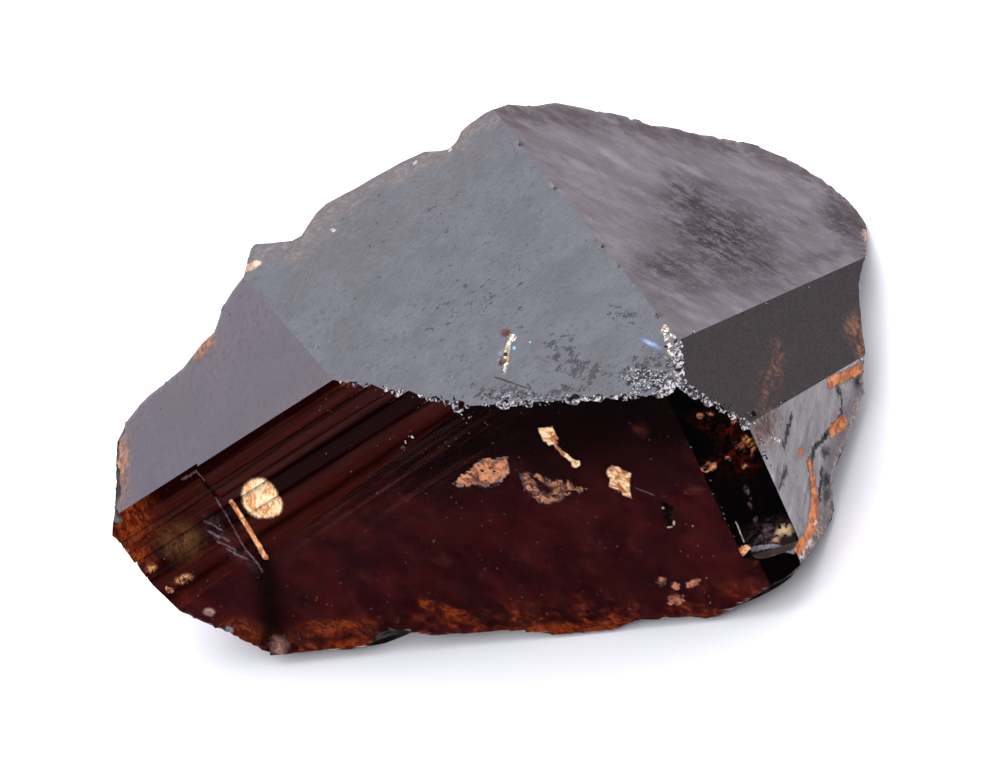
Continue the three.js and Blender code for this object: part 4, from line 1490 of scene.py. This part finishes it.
    def _measure_thickness(self, mesh: bpy.types.Mesh) -> None:
        """Stores how thin the crystal is under each point, 1 at a feather edge and 0 where it is thick."""
        tree = surface_tree(mesh)
        limit = self.amber_depth * MM
        thin = []
        for vertex in mesh.vertices:
            start = vertex.co - vertex.normal * self.skin * MM
            hit = tree.ray_cast(start, -vertex.normal, limit)
            thin.append(1.0 - hit[3] / limit if hit[0] is not None else 0.0)
        layer = mesh.attributes.new("thin", "FLOAT", "POINT")
        layer.data.foreach_set("value", thin)


# ---------------------------------------------------------------- crumbs along the crushed edges


FULL_TURN = 6.28
SEED_STEP = 10.0


class CrumbFinish:
    """Splinters, some pale and glassy, the rest dull and dark."""

    def make(self) -> bpy.types.Material:
        """Builds the material."""
        material, recipe = new_material("pale_crumbs")
        shade = recipe.part(recipe.cells(0.3, out="Color"), "Red")
        bump = recipe.bump(recipe.grain(0.08), 0.02)
        polish = recipe.grain(0.3).step(0.3, 0.7, (0.08, 0.3))
        pale = {"Base Color": linear("b4b0b2"), "Roughness": polish, "IOR": 2.0, "Normal": bump}
        dark = {"Base Color": linear("060405"), "Roughness": 0.6, "Specular IOR Level": 0.1, "Normal": bump}
        shares = {0: shade.step(0.58, 0.63), 1: recipe.shader(dark), 2: recipe.shader(pale)}
        recipe.finish(recipe.node("ShaderNodeMixShader", None, shares)["Shader"])
        return material


@dataclass
class Crumbs:
    """Splinters left on the crushed edges, scattered by a node tree.

    Attributes:
        edges: the lines that they lie along, each as two ends and how thickly they lie.
        per_mm: splinters on a millimetre of the thickest line.
        size: radius of a splinter before it is drawn out, in millimetres.
        draw: the least and the most that it is drawn out, along each of its axes.
        stray: how far a splinter lies from its line, in millimetres.
        reach: how far a line may be from the solid, in millimetres.
        bare: size factor of the bare stretches.
        sparse: the noise below which a stretch is bare.
        swell: size factor of the stretches with larger splinters.
        growth: the least growth, the most that the noise adds, and what is added to the noise.
        margin: how far inside the solid's box they stay, in millimetres.
        seed: number that their scatter starts from.
    """

    edges: list[tuple[Vector, Vector, float]]
    per_mm: float = 13.0
    size: float = 0.05
    draw: tuple[Triple, Triple] = ((0.2, 0.2, 0.2), (2.6, 2.0, 1.2))
    stray: float = 0.16
    reach: float = 0.6
    bare: float = 0.9
    sparse: float = -0.12
    swell: float = 2.1
    growth: Triple = (0.35, 1.5, 0.15)
    margin: float = 0.25
    seed: int = 4

    def build(self) -> bpy.types.Object:
        """Makes the piece.

        Returns:
            The crumbs as one plain mesh object.
        """
        mesh = bpy.data.meshes.new("crushed_edge_lines")
        points, grown = self._settled()
        mesh.from_pydata(points, [], [])
        mesh.attributes.new("grow", "FLOAT", "POINT").data.foreach_set("value", grown)
        host = add_object("crumb_line", mesh)
        tree = self._tree(CrumbFinish().make())
        modifier = host.modifiers.new("crumbs", "NODES")
        modifier.node_group = tree
        values = {"Size": self.size * MM, "Stray": self.stray * MM, "Seed": self.seed}
        for item in tree.interface.items_tree:
            if item.item_type == "SOCKET" and item.in_out == "INPUT" and item.name in values:
                modifier[item.identifier] = values[item.name]
        whole = bpy.data.meshes.new_from_object(host.evaluated_get(bpy.context.evaluated_depsgraph_get()))
        host.modifiers.remove(modifier)
        bpy.data.objects.remove(host)
        whole.name = "edge_crumbs"
        return add_object("edge_crumbs", whole)

    def _settled(self) -> tuple[list[Vector], list[float]]:
        """Points along the lines, brought down onto the solid.

        Returns:
            The points, in metres, and how large the splinter on each of them is.
        """
        tree = surface_tree(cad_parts[NODE].data)
        low, high = (Vector(corner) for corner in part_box(NODE))
        reach, rim = self.reach * MM, Vector((self.margin,) * 3) * MM
        least, most, lift = self.growth
        points, grown = [], []
        for start, end, share in self.edges:
            count = max(2, int((end - start).length * self.per_mm * share))
            for i in range(count):
                spot = start.lerp(end, (i + 0.5) / count)
                place = tree.find_nearest(spot * MM, reach)[0]
                if place is None or noise.noise(spot * self.bare) < self.sparse:
                    continue
                inside = Vector([min(max(c, a + r), b - r) for c, a, b, r in zip(place, low, high, rim)])
                points.append(inside if (inside - place).length < reach else place)
                grown.append(least + most * max(0.0, noise.noise(spot * self.swell) + lift))
        return points, grown

    def _tree(self, material: bpy.types.Material) -> bpy.types.NodeTree:
        """The node tree that sets a splinter on every point."""
        tree = bpy.data.node_groups.new("edge_crumbs", "GeometryNodeTree")
        for name, way, kind in (("Geometry", "INPUT", "Geometry"), ("Size", "INPUT", "Float"),
                                ("Stray", "INPUT", "Float"), ("Seed", "INPUT", "Int"),
                                ("Geometry", "OUTPUT", "Geometry")):
            tree.interface.new_socket(name, in_out=way, socket_type="NodeSocket" + kind)
        made = {name: tree.nodes.new(kind) for name, kind in {
            "given": "NodeGroupInput", "result": "NodeGroupOutput", "points": "GeometryNodeMeshToPoints",
            "shift": "GeometryNodeSetPosition", "shard": "GeometryNodeMeshIcoSphere",
            "put": "GeometryNodeInstanceOnPoints", "real": "GeometryNodeRealizeInstances",
            "paint": "GeometryNodeSetMaterial", "stray": "FunctionNodeRandomValue",
            "turn": "FunctionNodeRandomValue", "scale": "FunctionNodeRandomValue",
            "swing": "ShaderNodeVectorMath", "grow": "ShaderNodeVectorMath",
            "named": "GeometryNodeInputNamedAttribute"}.items()}
        draws = {"stray": ((-1.0,) * 3, (1.0,) * 3), "turn": ((0.0,) * 3, (FULL_TURN,) * 3),
                 "scale": self.draw}
        for step, (name, bounds) in enumerate(draws.items()):
            made[name].data_type = "FLOAT_VECTOR"
            made[name].inputs[0].default_value, made[name].inputs[1].default_value = bounds
            seed = tree.nodes.new("ShaderNodeMath")
            seed.operation = "ADD"
            seed.inputs[1].default_value = step * SEED_STEP
            tree.links.new(made["given"].outputs["Seed"], seed.inputs[0])
            tree.links.new(seed.outputs[0], next(port for port in made[name].inputs if port.name == "Seed"))
        made["swing"].operation = made["grow"].operation = "SCALE"
        made["named"].data_type = "FLOAT"
        made["named"].inputs["Name"].default_value = "grow"
        made["shard"].inputs["Subdivisions"].default_value = 1
        made["paint"].inputs["Material"].default_value = material
        wires = (
            ("given", "Geometry", "points", "Mesh"), ("points", 0, "shift", "Geometry"),
            ("stray", 0, "swing", 0), ("given", "Stray", "swing", "Scale"), ("swing", 0, "shift", "Offset"),
            ("given", "Size", "shard", "Radius"), ("shift", 0, "put", "Points"),
            ("shard", "Mesh", "put", "Instance"), ("turn", 0, "put", "Rotation"), ("scale", 0, "grow", 0),
            ("named", "Attribute", "grow", "Scale"), ("grow", 0, "put", "Scale"), ("put", 0, "real", 0),
            ("real", 0, "paint", "Geometry"), ("paint", 0, "result", 0),
        )
        for source, outlet, target, inlet in wires:
            tree.links.new(made[source].outputs[outlet], made[target].inputs[inlet])
        return tree


# ---------------------------------------------------------------- the studio


@dataclass
class Studio:
    """Pale floor, soft light, and the camera."""

    eye: Viewpoint
    floor_size: float = 6.0

    def build(self) -> bpy.types.Object:
        """Makes the floor, the lights, the sky and the camera.

        Returns:
            The floor.
        """
        self._camera()
        self._sky()
        self._lamp("overhead", (0.0, 0.3, 2.2), 2.2, 26.0)
        self._lamp("key", (-1.1, -1.5, 1.7), 1.2, 16.0)
        self._lamp("side", (1.7, -0.9, 1.1), 1.0, 6.0)
        scene = bpy.context.scene
        scene.view_settings.view_transform = "Standard"
        scene.view_settings.look = "None"
        return self._floor()

    def _camera(self) -> None:
        """Sets the camera at its viewpoint."""
        right, up, back = self.eye.axes()
        data = bpy.data.cameras.new("camera")
        data.sensor_width = 36.0
        data.lens = self.eye.focal * data.sensor_width / self.eye.picture[0]
        data.clip_start, data.clip_end = 0.01, 50.0
        camera = add_object("camera", data)
        place = (Vector(self.eye.target) + back * self.eye.distance) * MM
        turn = Matrix((right, up, back)).transposed().to_4x4()
        camera.matrix_world = Matrix.Translation(place) @ turn
        bpy.context.scene.camera = camera

    def _lamp(self, name: str, place: Triple, size: float, power: float) -> None:
        """Adds a square soft light aimed at the crystal.

        Args:
            name: the light's name.
            place: where it hangs, in metres.
            size: its side, in metres.
            power: its strength, in watts.
        """
        data = bpy.data.lights.new(name, "AREA")
        data.size, data.energy = size, power
        lamp = add_object(name, data)
        aim = Vector((0, 0, 0.01)) - Vector(place)
        lamp.matrix_world = Matrix.Translation(place) @ aim.to_track_quat("-Z", "Y").to_matrix().to_4x4()
        lamp.visible_camera = False

    def _sky(self) -> None:
        """Surrounds the scene with soft panels: bright above, behind and to the right, dark low in front."""
        world = bpy.data.worlds.new("studio")
        world.use_nodes = True
        recipe = Recipe(world.node_tree)
        way = recipe.node("ShaderNodeTexCoord")["Generated"]
        axis = recipe.node("ShaderNodeSeparateXYZ", None, {"Vector": way})
        x, y, z = axis["X"], axis["Y"], axis["Z"]
        behind = (y + x * 0.3).step(-0.05, 0.42)
        above = z.step(0.2, 0.6)
        panel = behind.most(above * 0.75)
        height = (z + 1) * 0.5
        stops = [(0.15, (1.42, 1.33, 1.42, 1)), (0.42, (1.15, 1.0, 1.12, 1)), (0.65, (1.35, 1.20, 1.42, 1)),
                 (0.83, (1.62, 1.69, 1.92, 1))]
        hue = recipe.node("ShaderNodeValToRGB", {"stops": stops}, {"Fac": height})["Color"]
        lit = recipe.blend(panel, (0.006, 0.006, 0.007, 1), hue)
        backdrop = recipe.node("ShaderNodeLightPath")["Is Camera Ray"]
        seen = recipe.blend(backdrop, lit, (0.86, 0.86, 0.87, 1))
        shine = recipe.node("ShaderNodeBackground", None, {"Color": seen, "Strength": 1.0})["Background"]
        recipe.node("ShaderNodeOutputWorld", None, {"Surface": shine})
        bpy.context.scene.world = world

    def _floor(self) -> bpy.types.Object:
        """Lays the floor under the resting face."""
        mesh = bpy.data.meshes.new("floor")
        body = bmesh.new()
        bmesh.ops.create_grid(body, x_segments=1, y_segments=1, size=self.floor_size / 2)
        body.to_mesh(mesh)
        body.free()
        material, recipe = new_material("pale_floor")
        tone = recipe.blend(recipe.grain(400.0, 2.0), linear("ecebea"), linear("f2f1f0"))
        recipe.finish(recipe.shader({"Base Color": tone, "Roughness": 0.8}))
        mesh.materials.append(material)
        floor = add_object("floor", mesh)
        floor.visible_glossy = False
        return floor


# ---------------------------------------------------------------- putting it together


def report(piece: bpy.types.Object) -> None:
    """Logs what a finished piece is made of."""
    LOG.info("%s: %d vertices, %d faces", piece.name, len(piece.data.vertices), len(piece.data.polygons))


def main() -> None:
    """Builds every piece and says what it rides on."""
    logging.basicConfig(level=logging.INFO, format="%(message)s")
    # Without a seed, vector noise starts from the clock and each run gives another relief.
    noise.seed_set(NOISE_SEED)
    eye = Viewpoint()
    Studio(eye).build()
    crystal = Crystal(crystal_planes(Lattice()), eye)
    body = crystal.build()
    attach(body, "root")
    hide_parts(NODE)
    report(body)
    crumbs = Crumbs(crystal.crumb_lines()).build()
    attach(crumbs, "root")
    report(crumbs)


if __name__ == "__main__":
    main()
